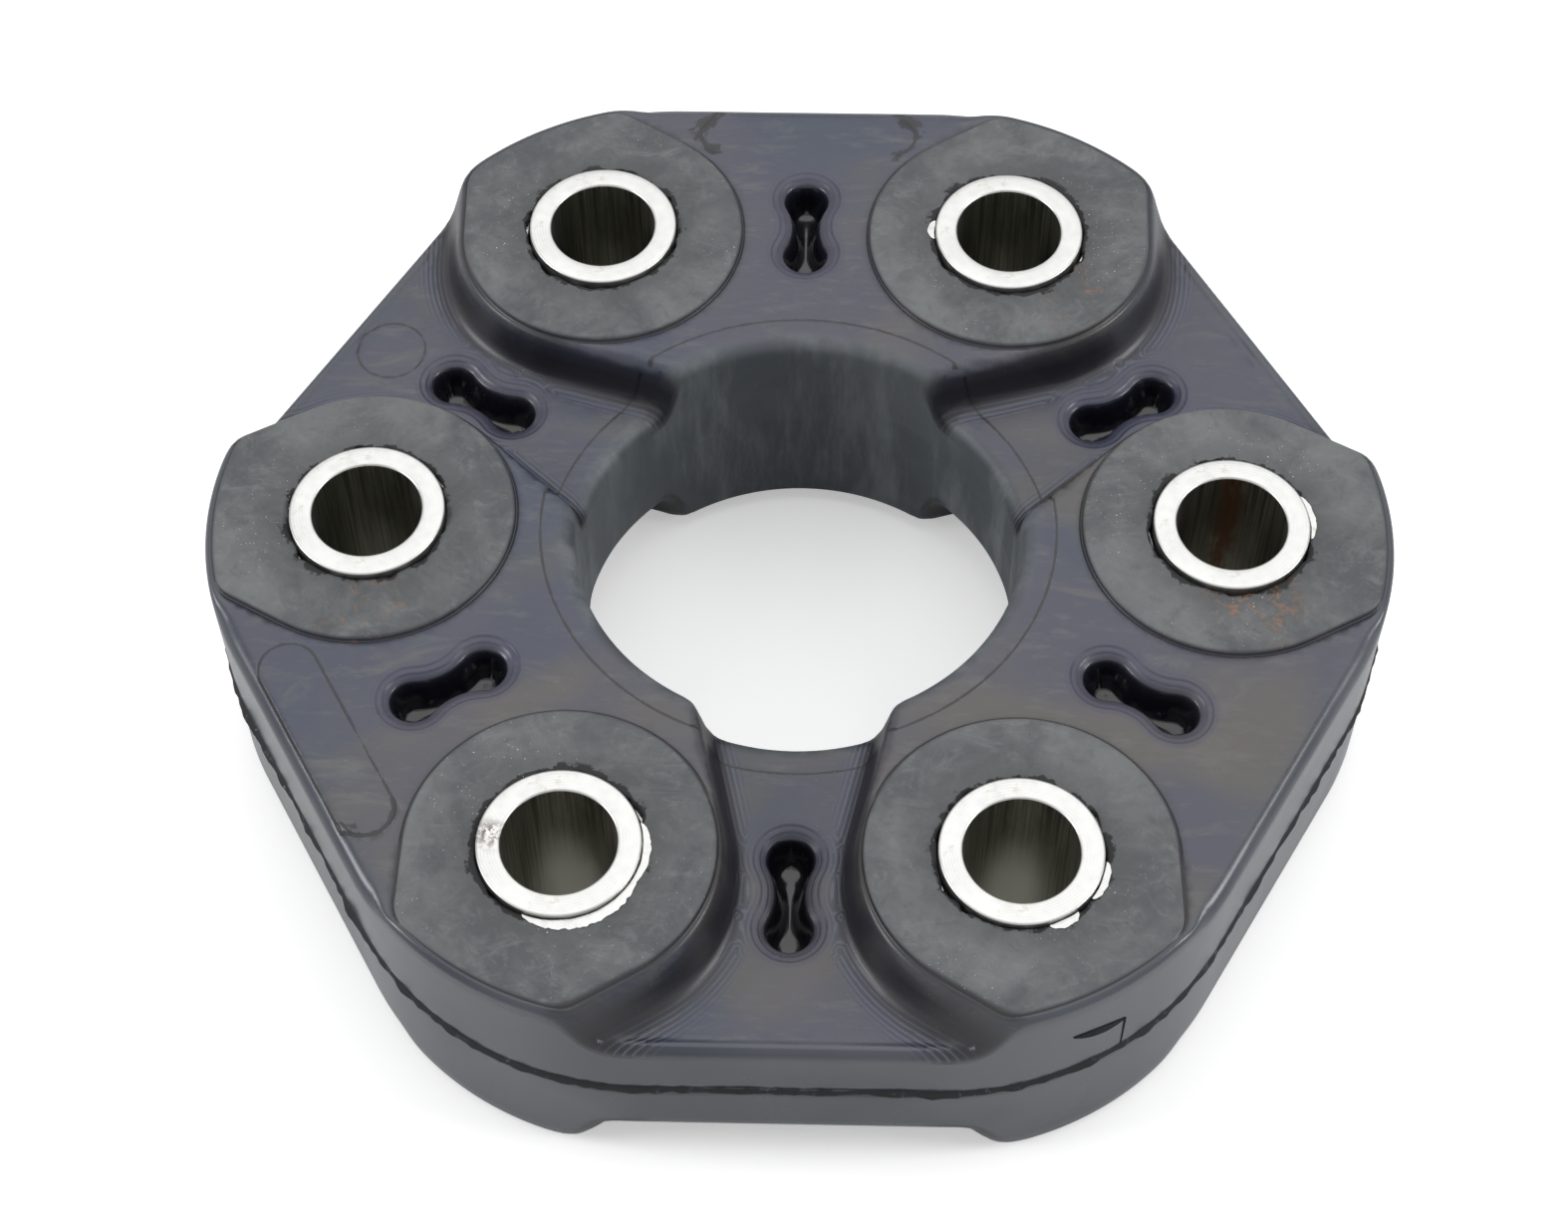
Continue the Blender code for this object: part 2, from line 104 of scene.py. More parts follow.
HALF_STEP = STEP_ANGLE / 2
BOLT = np.array((PITCH_RADIUS * math.sin(HALF_STEP), PITCH_RADIUS * math.cos(HALF_STEP)))
TO_BOLT = BOLT / PITCH_RADIUS
ACROSS_BOLT = np.array((TO_BOLT[1], -TO_BOLT[0]))
CORNER_OUT = (CORNER_REACH - APOTHEM) / (1 - math.cos(HALF_STEP))
CORNER_RADIUS = CORNER_REACH - CORNER_OUT
CORNER_CENTRE = CORNER_OUT * TO_BOLT
DEEP_AXIS, ACROSS_DEEP = np.array((0.0, 1.0)), np.array((1.0, 0.0))
SHALLOW_AXIS = np.array((math.sin(STEP_ANGLE), math.cos(STEP_ANGLE)))
ACROSS_SHALLOW = np.array((SHALLOW_AXIS[1], -SHALLOW_AXIS[0]))
DEEP_GAPS = [math.radians(a) for a in (30, 150, 270)]
SHALLOW_GAPS = [math.radians(a) for a in (90, 210, 330)]
BOLT_ANGLES = [i * STEP_ANGLE for i in range(6)]
BOLTS = PITCH_RADIUS * np.array([(math.cos(a), math.sin(a)) for a in BOLT_ANGLES])
PAD_TANGENT = 2 * math.atan2(PAD_END_HALF_WIDTH, PAD_RADIUS)
PAD_END = CORNER_RADIUS - PAD_END_INSET
BOSS_RADIUS = PAD_RADIUS + VALLEY_LEDGE
BOSS_END = CORNER_RADIUS + 0.3


# Plan shapes, as distances from their edges

def smooth(x, low, high):
    """0 below low, 1 above high, with a smooth rise between."""
    t = np.clip((x - low) / (high - low), 0.0, 1.0)
    return t * t * (3 - 2 * t)


def bump(x, centre, width):
    return np.exp(-((x - centre) / width) ** 2)


def reach(p, centre=(0.0, 0.0)):
    """Distance of plan points from a centre."""
    return np.hypot(p[:, 0] - centre[0], p[:, 1] - centre[1])


def ring_points(radius, angle, z):
    """Points in space at angles round the origin."""
    return np.stack((radius * np.cos(angle), radius * np.sin(angle), np.full(len(angle), 1.0) * z), 1)


def end_corner(radius, corner, end):
    """Centre of the round between a pad's straight side and its end, and its first and last direction."""
    normal = np.array((math.cos(PAD_TANGENT), math.sin(PAD_TANGENT)))
    along = np.array((normal[1], -normal[0]))
    start = np.array((PITCH_RADIUS - CORNER_OUT, 0.0)) + (radius - corner) * normal
    run = -start @ along + math.sqrt((start @ along) ** 2 - start @ start + (end - corner) ** 2)
    centre = start + run * along
    return centre, math.atan2(centre[1], centre[0]), PAD_TANGENT


def boss_shape(p, radius, corner, end):
    """Distance outside a pad-like shape: a circle, two straight sides and a rounded end. And how much of
    the nearest edge belongs to the end."""
    q = p - CORNER_CENTRE
    outward, across = q @ TO_BOLT, np.abs(q @ ACROSS_BOLT)
    from_bolt = outward - (PITCH_RADIUS - CORNER_OUT)
    straight = from_bolt * math.cos(PAD_TANGENT) + across * math.sin(PAD_TANGENT) - radius
    on_line = np.arctan2(across, from_bolt) < PAD_TANGENT
    side = np.where(on_line, straight, np.hypot(from_bolt, across) - radius)
    centre, first, last = end_corner(radius, corner, end)
    direction = np.arctan2(across - centre[1], outward - centre[0])
    in_corner = (direction > first) & (direction < last)
    rounded = np.hypot(outward - centre[0], across - centre[1]) - corner
    distance = np.where(in_corner, rounded, np.maximum(side, np.hypot(outward, across) - end))
    return distance, (1 - smooth(direction, first, last)) * (from_bolt > 0)


def boss_edge(radius, corner, end):
    """Half of that shape's edge with its normals, from the middle of its end to the side of the bore."""
    centre, first, last = end_corner(radius, corner, end)
    parts = []
    for place, size, start, stop in (((0.0, 0.0), end, 0.0, first), (centre, corner, first, last),
                                     ((PITCH_RADIUS - CORNER_OUT, 0.0), radius, last, math.pi)):
        a = np.linspace(start, stop, max(3, int(abs(stop - start) * size / 0.2)))
        normal = np.stack((np.cos(a), np.sin(a)), 1)
        parts.append(np.concatenate((np.array(place) + size * normal, normal), 1))
    steps = np.linspace(0, 1, 40)[1:-1, None]
    straight = parts[1][-1] + steps * (parts[2][0] - parts[1][-1])
    return np.concatenate((parts[0], parts[1][1:], straight, parts[2]))


def pad_distance(p):
    return boss_shape(p, PAD_RADIUS, PAD_CORNER_RADIUS, PAD_END)[0]


def mouth_normal():
    """Direction, from the bolt, of the straight part of a valley's upper edge that runs to the bore."""
    mouth = np.array((VALLEY_MOUTH_HALF_WIDTH,
                      math.sqrt(BORE_RADIUS ** 2 - VALLEY_MOUTH_HALF_WIDTH ** 2) + EDGE_ROUND))
    to_bolt = BOLT - mouth
    along = math.atan2(to_bolt[1], to_bolt[0]) + math.asin(BOSS_RADIUS / math.hypot(*to_bolt))
    return np.array((-math.sin(along), math.cos(along)))


INNER_NORMAL = mouth_normal()
INNER_RISE = math.atan2(INNER_NORMAL[1], -INNER_NORMAL[0])


def boss_distance(p):
    """Distance from a valley's upper edge towards the middle of the deep gap."""
    q = p - BOLT
    rise = np.arctan2(q[:, 1], -q[:, 0])
    shape = boss_shape(p, BOSS_RADIUS, VALLEY_CORNER_RADIUS, BOSS_END)[0]
    return np.where(rise < INNER_RISE, q @ INNER_NORMAL - BOSS_RADIUS, shape)


def foot_reach(out):
    """Plan width of a valley's wall at a distance out from the axis."""
    rise = out - BOLT[1]
    return 2.6 + np.where(rise > 0, 0.11 * rise, -0.05 * rise)


def arc(centre, radius, start, end, spacing):
    """Points on an arc. Angles run clockwise from +Y."""
    count = max(2, int(abs(end - start) * radius / spacing) + 1)
    a = np.linspace(start, end, count + 1)
    return np.stack((centre[0] + radius * np.sin(a), centre[1] + radius * np.cos(a)), 1)


def mirrored(points, axis):
    """Points on the other side of a line through the origin, in reverse order."""
    points = points[::-1]
    return 2 * (points @ axis)[:, None] * axis - points


def outline(inset, spacing=0.2):
    """The body's outline over the wedge, moved inward."""
    flat_x = np.arange(0.0, CORNER_CENTRE[0], spacing)
    flat = np.stack((flat_x, np.full_like(flat_x, APOTHEM - inset)), 1)
    side = np.concatenate((flat, arc(CORNER_CENTRE, CORNER_RADIUS - inset, 0.0, HALF_STEP, spacing)))
    return np.concatenate((side, mirrored(side, TO_BOLT)[1:]))


def outline_distance(p):
    """Distance inside the body's outline."""
    side = np.where((p @ ACROSS_BOLT > 0)[:, None], 2 * (p @ TO_BOLT)[:, None] * TO_BOLT - p, p)
    q = side - CORNER_CENTRE
    return np.where(q[:, 0] > 0, CORNER_RADIUS - reach(q), APOTHEM - side[:, 1])


LOBE_OUT = POCKET_HALF_LENGTH - POCKET_LOBE_RADIUS
WAIST_RADIUS = ((LOBE_OUT ** 2 + POCKET_WAIST_HALF_WIDTH ** 2 - POCKET_LOBE_RADIUS ** 2)
                / (2 * (POCKET_LOBE_RADIUS - POCKET_WAIST_HALF_WIDTH)))
WAIST_CENTRE = WAIST_RADIUS + POCKET_WAIST_HALF_WIDTH


def dogbone(grow, spacing=0.15):
    """A pocket's outline, grown outward, about its own centre and long along Y."""
    touch, quarter = math.atan2(LOBE_OUT, WAIST_CENTRE), math.pi / 2
    upper = arc((0, LOBE_OUT), POCKET_LOBE_RADIUS + grow, -quarter - touch, quarter + touch, spacing)
    side = arc((WAIST_CENTRE, 0), WAIST_RADIUS - grow, -quarter + touch, -quarter - touch, spacing)
    half = np.concatenate((upper, side[1:-1]))
    return np.concatenate((half, -half))


def pocket_distance(p):
    """Distance outside a pocket's outline, for points about its own centre."""
    q = np.abs(p)
    in_waist = q[:, 1] * WAIST_CENTRE < LOBE_OUT * (WAIST_CENTRE - q[:, 0])
    return np.where(in_waist, WAIST_RADIUS - np.hypot(WAIST_CENTRE - q[:, 0], q[:, 1]),
                    np.hypot(q[:, 0], q[:, 1] - LOBE_OUT) - POCKET_LOBE_RADIUS)


def stadium_distance(p, half_length, radius):
    q = np.abs(p)
    return np.hypot(np.maximum(q[:, 0] - (half_length - radius), 0.0), q[:, 1]) - radius


def stadium_line(grow):
    """The left half of the insert's outline, in the frame of a shallow gap."""
    radius, straight = INSERT_HALF_WIDTH + grow, INSERT_HALF_LENGTH - INSERT_HALF_WIDTH
    end = arc((-straight, INSERT_OUT), radius, math.pi, 2 * math.pi, 0.1)
    cap = np.array(((0.3, INSERT_OUT - radius),)), np.array(((0.3, INSERT_OUT + radius),))
    return np.concatenate((cap[0], end, cap[1]))


def curve_through(x, table):
    """Values at x on a smooth curve through the (x, value) pairs, flat at both ends."""
    xs, ys = (np.array(column, float) for column in zip(*table))
    slopes = np.diff(ys) / np.diff(xs)
    tangents = np.zeros_like(ys)
    same = slopes[1:] * slopes[:-1] > 0
    tangents[1:-1][same] = 2 / (1 / slopes[1:][same] + 1 / slopes[:-1][same])
    x = np.clip(x, xs[0], xs[-1])
    i = np.clip(np.searchsorted(xs, x) - 1, 0, len(xs) - 2)
    width = xs[i + 1] - xs[i]
    t = (x - xs[i]) / width
    return ((2 * t ** 3 - 3 * t ** 2 + 1) * ys[i] + (t ** 3 - 2 * t ** 2 + t) * width * tangents[i]
            + (3 * t ** 2 - 2 * t ** 3) * ys[i + 1] + (t ** 3 - t ** 2) * width * tangents[i + 1])


# Profiles: share of the valley's depth over the share of its wall, height of a pad over the distance from
# its edge, and depth of a pocket over the distance from its outline.
VALLEY_PROFILE = ((-0.10, 0.0), (0.0, 0.03), (0.10, 0.10), (0.20, 0.27), (0.30, 0.50), (0.42, 0.72),
                  (0.56, 0.87), (0.75, 0.965), (1.05, 1.0))
PAD_PROFILE = ((-0.55, 1.0), (-0.3, 0.93), (-0.12, 0.7), (0.0, 0.2), (0.09, -0.22), (0.2, -0.12),
               (0.38, 0.0))
PAD_END_PROFILE = ((-0.55, 1.0), (-0.3, 0.95), (-0.12, 0.82), (0.0, 0.62), (0.09, 0.5), (0.2, 0.6),
                   (0.5, 0.62))
POCKET_PROFILE = ((-1.75, POCKET_DEPTH), (-1.45, 4.66), (-1.2, 4.45), (-0.85, 3.6), (-0.45, 2.1),
                  (-0.18, 1.15), (0.0, 0.78), (0.14, 0.62), (0.5, 0.5), (0.62, 0.44), (0.72, 0.3),
                  (0.86, 0.25), (1.2, 0.2), (1.32, 0.14), (1.44, 0.05), (1.7, 0.02), (2.3, 0.0))
PAD_STEP = PAD_TOP - WEB_TOP
CREASE_DEPTH = 0.9
# What the contour mask says away from every edge
NO_CONTOUR = 9.0


def heights(p):
    """The upper face over the wedge, with the masks that the finishes use."""
    pad, at_end = boss_shape(p, PAD_RADIUS, PAD_CORNER_RADIUS, PAD_END)
    boss, inset = boss_distance(p), outline_distance(p)
    radius = reach(p)
    in_shallow = p @ ACROSS_BOLT > 0
    share = np.where(in_shallow, -1.0, boss / foot_reach(p[:, 1]))
    valley = curve_through(share, VALLEY_PROFILE)
    z = WEB_TOP - VALLEY_DEPTH * valley
    on_pad = curve_through(pad, PAD_PROFILE)
    on_pad = on_pad * np.where(on_pad > 0, PAD_STEP, CREASE_DEPTH) * (1 - smooth(share, 0.0, 0.15))
    on_end = curve_through(pad, PAD_END_PROFILE) * PAD_STEP
    z = z + (on_pad + (on_end - on_pad) * at_end)

    shallow = pocket_distance(np.stack((p @ ACROSS_SHALLOW, p @ SHALLOW_AXIS - POCKET_OUT), 1))
    pocket = np.where(in_shallow, shallow, pocket_distance(p - np.array((0, POCKET_OUT))))
    z = z - curve_through(pocket, POCKET_PROFILE)

    # A low bead runs along the outer edge of each deep gap, with a crease inside it.
    floor = smooth(share, 0.35, 0.95)
    z = z + floor * (0.34 * bump(inset, 0.85, 0.5) - 0.12 * bump(inset, 1.9, 0.45))
    edge = EDGE_ROUND + (VALLEY_EDGE_ROUND - EDGE_ROUND) * valley
    edge = PAD_END_ROUND + (edge - PAD_END_ROUND) * smooth(pad, 0.9, 2.6)
    near = np.clip(edge - inset, 0.0, edge)
    z = z - (edge - np.sqrt(edge ** 2 - near ** 2))
    near = np.clip(BORE_RADIUS + BORE_ROUND - radius, 0.0, BORE_ROUND)
    z = z - (BORE_ROUND - np.sqrt(BORE_ROUND ** 2 - near ** 2))
    off_pad = smooth(pad, 0.3, 1.0)
    by_valley = smooth(share, -0.12, 0.06)
    mould_line = bump(radius, MOULD_LINE_RADIUS, LINE_HALF_WIDTH / 2) * off_pad
    z = z - 0.05 * mould_line

    masks = {
        "pad": 1 - smooth(pad, -0.25, 0.05),
        "crease": (bump(pad, 0.08 + 0.14 * by_valley, 0.16 + 0.22 * by_valley)
                   * (1 - smooth(share, 0.15, 0.35))),
        "wall": smooth(share, 0.02, 0.3) * (1 - smooth(share, 0.65, 1.3)),
        "foot": bump(share, 0.92, 0.24) * (share > 0),
        "pocket": 1 - smooth(pocket, -0.35, 0.45),
        "rim": (1 - smooth(pocket, 1.5, 2.4)) * smooth(pocket, -0.3, 0.3),
        "contour": np.where(pocket < 3.0, pocket, np.where(share > 0, boss, NO_CONTOUR)),
        "line": mould_line,
    }
    return z, masks


# Spacing of the points along most lines of the wedge, of the points between the lines, and their clearance
LINE_SPACING, FILL_SPACING, FILL_CLEARANCE = 0.85, 1.15, 0.5
# Crease lines of the wedge, by their distances from the edge that they follow
HOLE_LINES = (0.12, 0.4, 0.85, 1.6)
OUTLINE_LINES = (0.06, 0.22, 0.45)
EDGE_LINES = (0.9, 1.4, 1.9)
BORE_LINES = (0.06, 0.24, 0.55, 0.95, 1.45, 2.0)
FINE_LINES = (-LINE_SIDE, -LINE_HALF_WIDTH, 0.0, LINE_HALF_WIDTH, LINE_SIDE)
PAD_LINES = (-1.1, -0.55, -0.3, -0.12, 0.0, 0.09, 0.2)
PAD_LAST_LINES = (0.4,)
POCKET_LINES = (-1.45, -1.2, -0.85, -0.45, -0.18, 0.0, 0.14, 0.5, 0.62, 0.72, 0.86, 1.2, 1.32, 1.44, 1.7,
                2.3)
# Shares of the valley wall's plan width
VALLEY_LINES = (0.10, 0.20, 0.30, 0.42, 0.56, 0.75, 1.05)


class Plan:
    """Plan points of the wedge with the lines that the triangles must follow."""

    def __init__(self):
        self.points, self.lines = [], []

    def add_line(self, points, spacing, keep):
        """Adds the parts of a line that lie inside the wedge, cut exactly at its two sides."""
        step = np.hypot(*np.diff(points, axis=0).T)
        run = np.concatenate(([0], np.cumsum(step)))
        count = max(2, int(round(run[-1] / spacing)))
        at = np.linspace(0, run[-1], count + 1)
        fine = np.stack([np.interp(at, run, points[:, k]) for k in (0, 1)], 1)
        # Signed distances inside the wedge's two sides
        sides = np.stack((fine[:, 0], -(fine @ ACROSS_SHALLOW)), 1)
        sides[np.abs(sides) < 1e-6] = 0.0
        good = keep(fine)
        last = None
        for i in range(len(fine)):
            if i and (sides[i].min() > 0) != (sides[i - 1].min() > 0):
                k = int(np.argmin(np.minimum(sides[i], sides[i - 1])))
                a, b = sides[i - 1][k], sides[i][k]
                cut = fine[i - 1] + (fine[i] - fine[i - 1]) * (a / (a - b))
                cut = np.array((0.0, cut[1])) if k == 0 else SHALLOW_AXIS * (cut @ SHALLOW_AXIS)
                if keep(cut[None])[0]:
                    last = self.join(last, cut)
            if sides[i].min() > 0.04 and good[i]:
                last = self.join(last, fine[i])
            elif sides[i].min() <= 0 or not good[i]:
                last = None

    def join(self, last, point):
        """Adds a point, and a line to it from the last one if there is one."""
        here = len(self.points)
        self.points.append(point)
        if last is not None:
            self.lines.append((last, here))
        return here

    def fill(self, spacing, clearance, keep):
        """Adds a triangular grid wherever it is clear of the points so far."""
        row_step = spacing * ROW_SHARE
        rows = int(CORNER_REACH / row_step) + 2
        grid = [((col + 0.5 * (row % 2)) * spacing, row * row_step)
                for row in range(rows) for col in range(int(CORNER_REACH / spacing) + 2)]
        grid = np.array(grid)
        on_axes = np.arange(BORE_RADIUS + spacing / 2, APOTHEM, spacing)
        axis_points = np.concatenate((np.stack((0 * on_axes, on_axes), 1), on_axes[:, None] * SHALLOW_AXIS))
        inner = np.minimum(grid[:, 0], -(grid @ ACROSS_SHALLOW)) > 0.4 * spacing
        for candidates in (axis_points, grid[inner]):
            candidates = candidates[keep(candidates)]
            have = np.array(self.points)
            gap = np.array([reach(have, c).min() for c in candidates])
            self.points += list(candidates[gap > clearance])


def valley_line(share):
    """The valley's upper edge moved in by a share of its wall's plan width."""
    edge = boss_edge(BOSS_RADIUS, VALLEY_CORNER_RADIUS, BOSS_END)
    line = CORNER_CENTRE + edge[:, :1] * TO_BOLT - edge[:, 1:2] * ACROSS_BOLT
    normals = edge[:, 2:3] * TO_BOLT - edge[:, 3:] * ACROSS_BOLT
    round_part = np.arctan2(normals[:, 1], -normals[:, 0]) > INNER_RISE
    line, normals = line[round_part], normals[round_part]
    inward = np.array((INNER_NORMAL[1], -INNER_NORMAL[0]))
    inward = inward * np.sign(-inward[1])
    steps = np.arange(0.2, 26.0, 0.2)[:, None]
    straight = line[-1] + steps * inward
    line = np.concatenate((line, straight))
    normals = np.concatenate((normals, np.tile(INNER_NORMAL, (len(straight), 1))))
    moved = line
    for _ in range(4):
        moved = line + normals * (share * foot_reach(moved[:, 1]))[:, None]
    return moved


def pad_line(grow):
    """A pad's edge moved outward, all the way round."""
    edge = boss_edge(PAD_RADIUS + grow, PAD_CORNER_RADIUS + grow, PAD_END + grow)[:, :2]
    edge = np.concatenate((edge, edge[::-1] * (1, -1)))
    return CORNER_CENTRE + edge[:, :1] * TO_BOLT + edge[:, 1:] * ACROSS_BOLT


def wedge_mesh():
    """Plan points and triangles of the wedge."""
    plan = Plan()

    def anywhere(p):
        return np.ones(len(p), bool)

    def inside(p, margin):
        return (outline_distance(p) > margin) & (reach(p) > BORE_RADIUS + 0.02)

    def off_pad(p):
        return pad_distance(p) > 0.45

    def clear_of_boss(p):
        boss = boss_distance(p)
        return inside(p, 0.05) & off_pad(p) & ~((boss > -0.3) & (boss < 0.35))

    def off_wall(p):
        return boss_distance(p) > 1.1 * foot_reach(p[:, 1])

    def open_rubber(p, inset, rise, grow):
        """Clear of the outline, the centre bore and the sleeve's hole, each by its own margin."""
        return ((outline_distance(p) > inset) & (reach(p) > BORE_RADIUS + rise)
                & (reach(p, BOLT) > HOLE_RADIUS + grow))

    def along_hole(grow):
        return arc(BOLT, HOLE_RADIUS + grow, 0, 2 * math.pi, 0.2)

    def round_axis(radius):
        return arc((0, 0), radius, -0.05, STEP_ANGLE + 0.05, 0.2)

    def along_bore(rise):
        return round_axis(BORE_RADIUS + rise)

    def mould_line(offset):
        return round_axis(MOULD_LINE_RADIUS + offset)

    plan.add_line(outline(0.0), LINE_SPACING, anywhere)
    plan.add_line(along_bore(0.0), LINE_SPACING, anywhere)
    plan.add_line(along_hole(0.0), 0.6, anywhere)
    for grow in HOLE_LINES:
        plan.add_line(along_hole(grow), 0.65 + grow / 4, anywhere)
    for line, offsets, spacing, keep in (
            (outline, OUTLINE_LINES, LINE_SPACING, anywhere),
            (outline, EDGE_LINES, LINE_SPACING, off_pad),
            (along_bore, BORE_LINES, LINE_SPACING, anywhere),
            (mould_line, FINE_LINES, LINE_SPACING, clear_of_boss),
            (pad_line, PAD_LINES, 0.75, lambda p: inside(p, 0.12)),
            (pad_line, PAD_LAST_LINES, 0.75, lambda p: inside(p, 0.7) & (boss_distance(p) < -0.1)),
            (valley_line, VALLEY_LINES, 0.8, lambda p: inside(p, 0.3) & (pad_distance(p) > 0.24))):
        for offset in offsets:
            plan.add_line(line(offset), spacing, keep)
    # A deep gap's pocket is kept clear of the valley's wall, which comes close to its rim.
    for axis, across, keep in ((DEEP_AXIS, ACROSS_DEEP, off_wall), (SHALLOW_AXIS, ACROSS_SHALLOW, off_pad)):
        for grow in POCKET_LINES:
            line = dogbone(grow)
            line = np.concatenate((line, line[:1]))
            plan.add_line(line[:, :1] * across + line[:, 1:] * axis + axis * POCKET_OUT, 0.5, keep)
    for offset in FINE_LINES:
        plan.add_line(arc((0.0, STAMP_OUT), STAMP_RADIUS + offset, 0.0, math.pi, 0.1), 0.5, anywhere)
        line = stadium_line(offset)
        plan.add_line(line[:, :1] * ACROSS_SHALLOW + line[:, 1:] * SHALLOW_AXIS, 0.6, anywhere)
    plan.fill(FILL_SPACING, FILL_CLEARANCE, lambda p: open_rubber(p, 0.3, 0.3, 0.3))

    # The two sides of the wedge, through every point that lies on them
    points = np.array(plan.points)
    for axis in (DEEP_AXIS, SHALLOW_AXIS):
        off = np.abs(points @ np.array((axis[1], -axis[0])))
        on = np.nonzero(off < 1e-9)[0]
        order = on[np.argsort(points[on] @ axis)]
        plan.lines += [(int(a), int(b)) for a, b in zip(order, order[1:])]

    # Points on the slanting side are bowed in a little while the triangles are made, and triangles that
    # join three of them go, so that rounding errors can't leave a sliver along it.
    bowed, along = points.copy(), points[on] @ SHALLOW_AXIS
    bow = AXIS_BOW * (1 - ((2 * along - BORE_RADIUS - APOTHEM) / (APOTHEM - BORE_RADIUS)) ** 2)
    bowed[on] -= bow[:, None] * ACROSS_SHALLOW
    found = delaunay_2d_cdt([Vector(p) for p in bowed], plan.lines, [], 0, 2e-4)
    points = np.array([points[source[0]] if source else tuple(v) for v, source in zip(found[0], found[3])])
    triangles = np.array([f for f in found[2] if len(f) == 3])
    on_side = np.abs(points @ ACROSS_SHALLOW) < 1e-9
    triangles = triangles[~on_side[triangles].all(axis=1)]
    middle = points[triangles].mean(1)
    inside_wedge = np.minimum(middle[:, 0], -(middle @ ACROSS_SHALLOW)) > 0
    triangles = triangles[inside_wedge & open_rubber(middle, 1e-5, -0.003, -0.003)]
    a, b, c = (points[triangles[:, i]] for i in range(3))
    area = (b[:, 0] - a[:, 0]) * (c[:, 1] - a[:, 1]) - (b[:, 1] - a[:, 1]) * (c[:, 0] - a[:, 0])
    triangles[area < 0] = triangles[area < 0][:, ::-1]
    used = np.unique(triangles)
    renumber = np.full(len(points), -1)
    renumber[used] = np.arange(len(used))
    return points[used], renumber[triangles]


# The whole rubber body

def value_noise(p, size, seed):
    """Smooth noise from -1 to 1 at 3-D points, with a cell size in the points' unit."""
    q = p / size + 17.3 * seed
    cell = np.floor(q).astype(np.int64)
    t = q - cell
    t = t * t * (3 - 2 * t)
    total = np.zeros(len(p))
    for corner in np.ndindex(2, 2, 2):
        c = cell + np.array(corner)
        h = (c[:, 0] * 374761393 + c[:, 1] * 668265263 + c[:, 2] * 1274126177 + seed * 971) & 0xFFFFFFFF
        h = ((h ^ (h >> 13)) * 1103515245) & 0xFFFFFFFF
        h = (h ^ (h >> 16)) & 0xFFFF
        weight = np.prod(np.where(np.array(corner) == 1, t, 1 - t), axis=1)
        total += weight * h
    return total / 32767.5 - 1.0


def layered_noise(p, size, seed, layers=3):
    total = sum(value_noise(p, size / 2 ** k, seed + k) / 2 ** k for k in range(layers))
    return total / (2 - 0.5 ** (layers - 1))


def turned(p, angle):
    c, s = math.cos(angle), math.sin(angle)
    return p @ np.array(((c, s), (-s, c)))


def whole_face():
    """Plan points, heights, masks and triangles of the upper face, all round the disc."""
    points, triangles = wedge_mesh()
    z, masks = heights(points)
    plan, faces = [], []
    for gap in DEEP_GAPS:
        for side in (1, -1):
            faces.append((triangles if side == 1 else triangles[:, ::-1]) + len(plan) * len(points))
            plan.append(turned(points * np.array((side, 1)), gap - math.pi / 2))
    plan = np.concatenate(plan)
    _, first, where = np.unique(np.round(plan, 6), axis=0, return_index=True, return_inverse=True)
    where = where.reshape(-1)
    faces = where[np.concatenate(faces)]
    return plan[first], np.tile(z, 6)[first], {k: np.tile(m, 6)[first] for k, m in masks.items()}, faces


def border_loops(faces):
    """Loops of points along the open borders, in the direction of the faces."""
    edges = np.concatenate([faces[:, (i, (i + 1) % 3)] for i in range(3)])
    both = set(map(tuple, edges.tolist()))
    following = {a: b for a, b in both if (b, a) not in both}
    loops = []
    while following:
        start, here = next(iter(following.items()))
        loop = [start]
        del following[start]
        while here != start:
            loop.append(here)
            here = following.pop(here)
        loops.append(np.array(loop))
    return loops


def gap_frame(p, gap, out=0.0):
    """Points in the frame of a gap, outward along +Y, from a place far out on it."""
    return turned(p, math.pi / 2 - gap) - np.array((0, out))


def by_bolt(p, per_bolt):
    """Of one value for each bolt, the nearest bolt's for each point."""
    return per_bolt[np.argmin(np.linalg.norm(p[:, None] - BOLTS[None], axis=2), axis=1)]


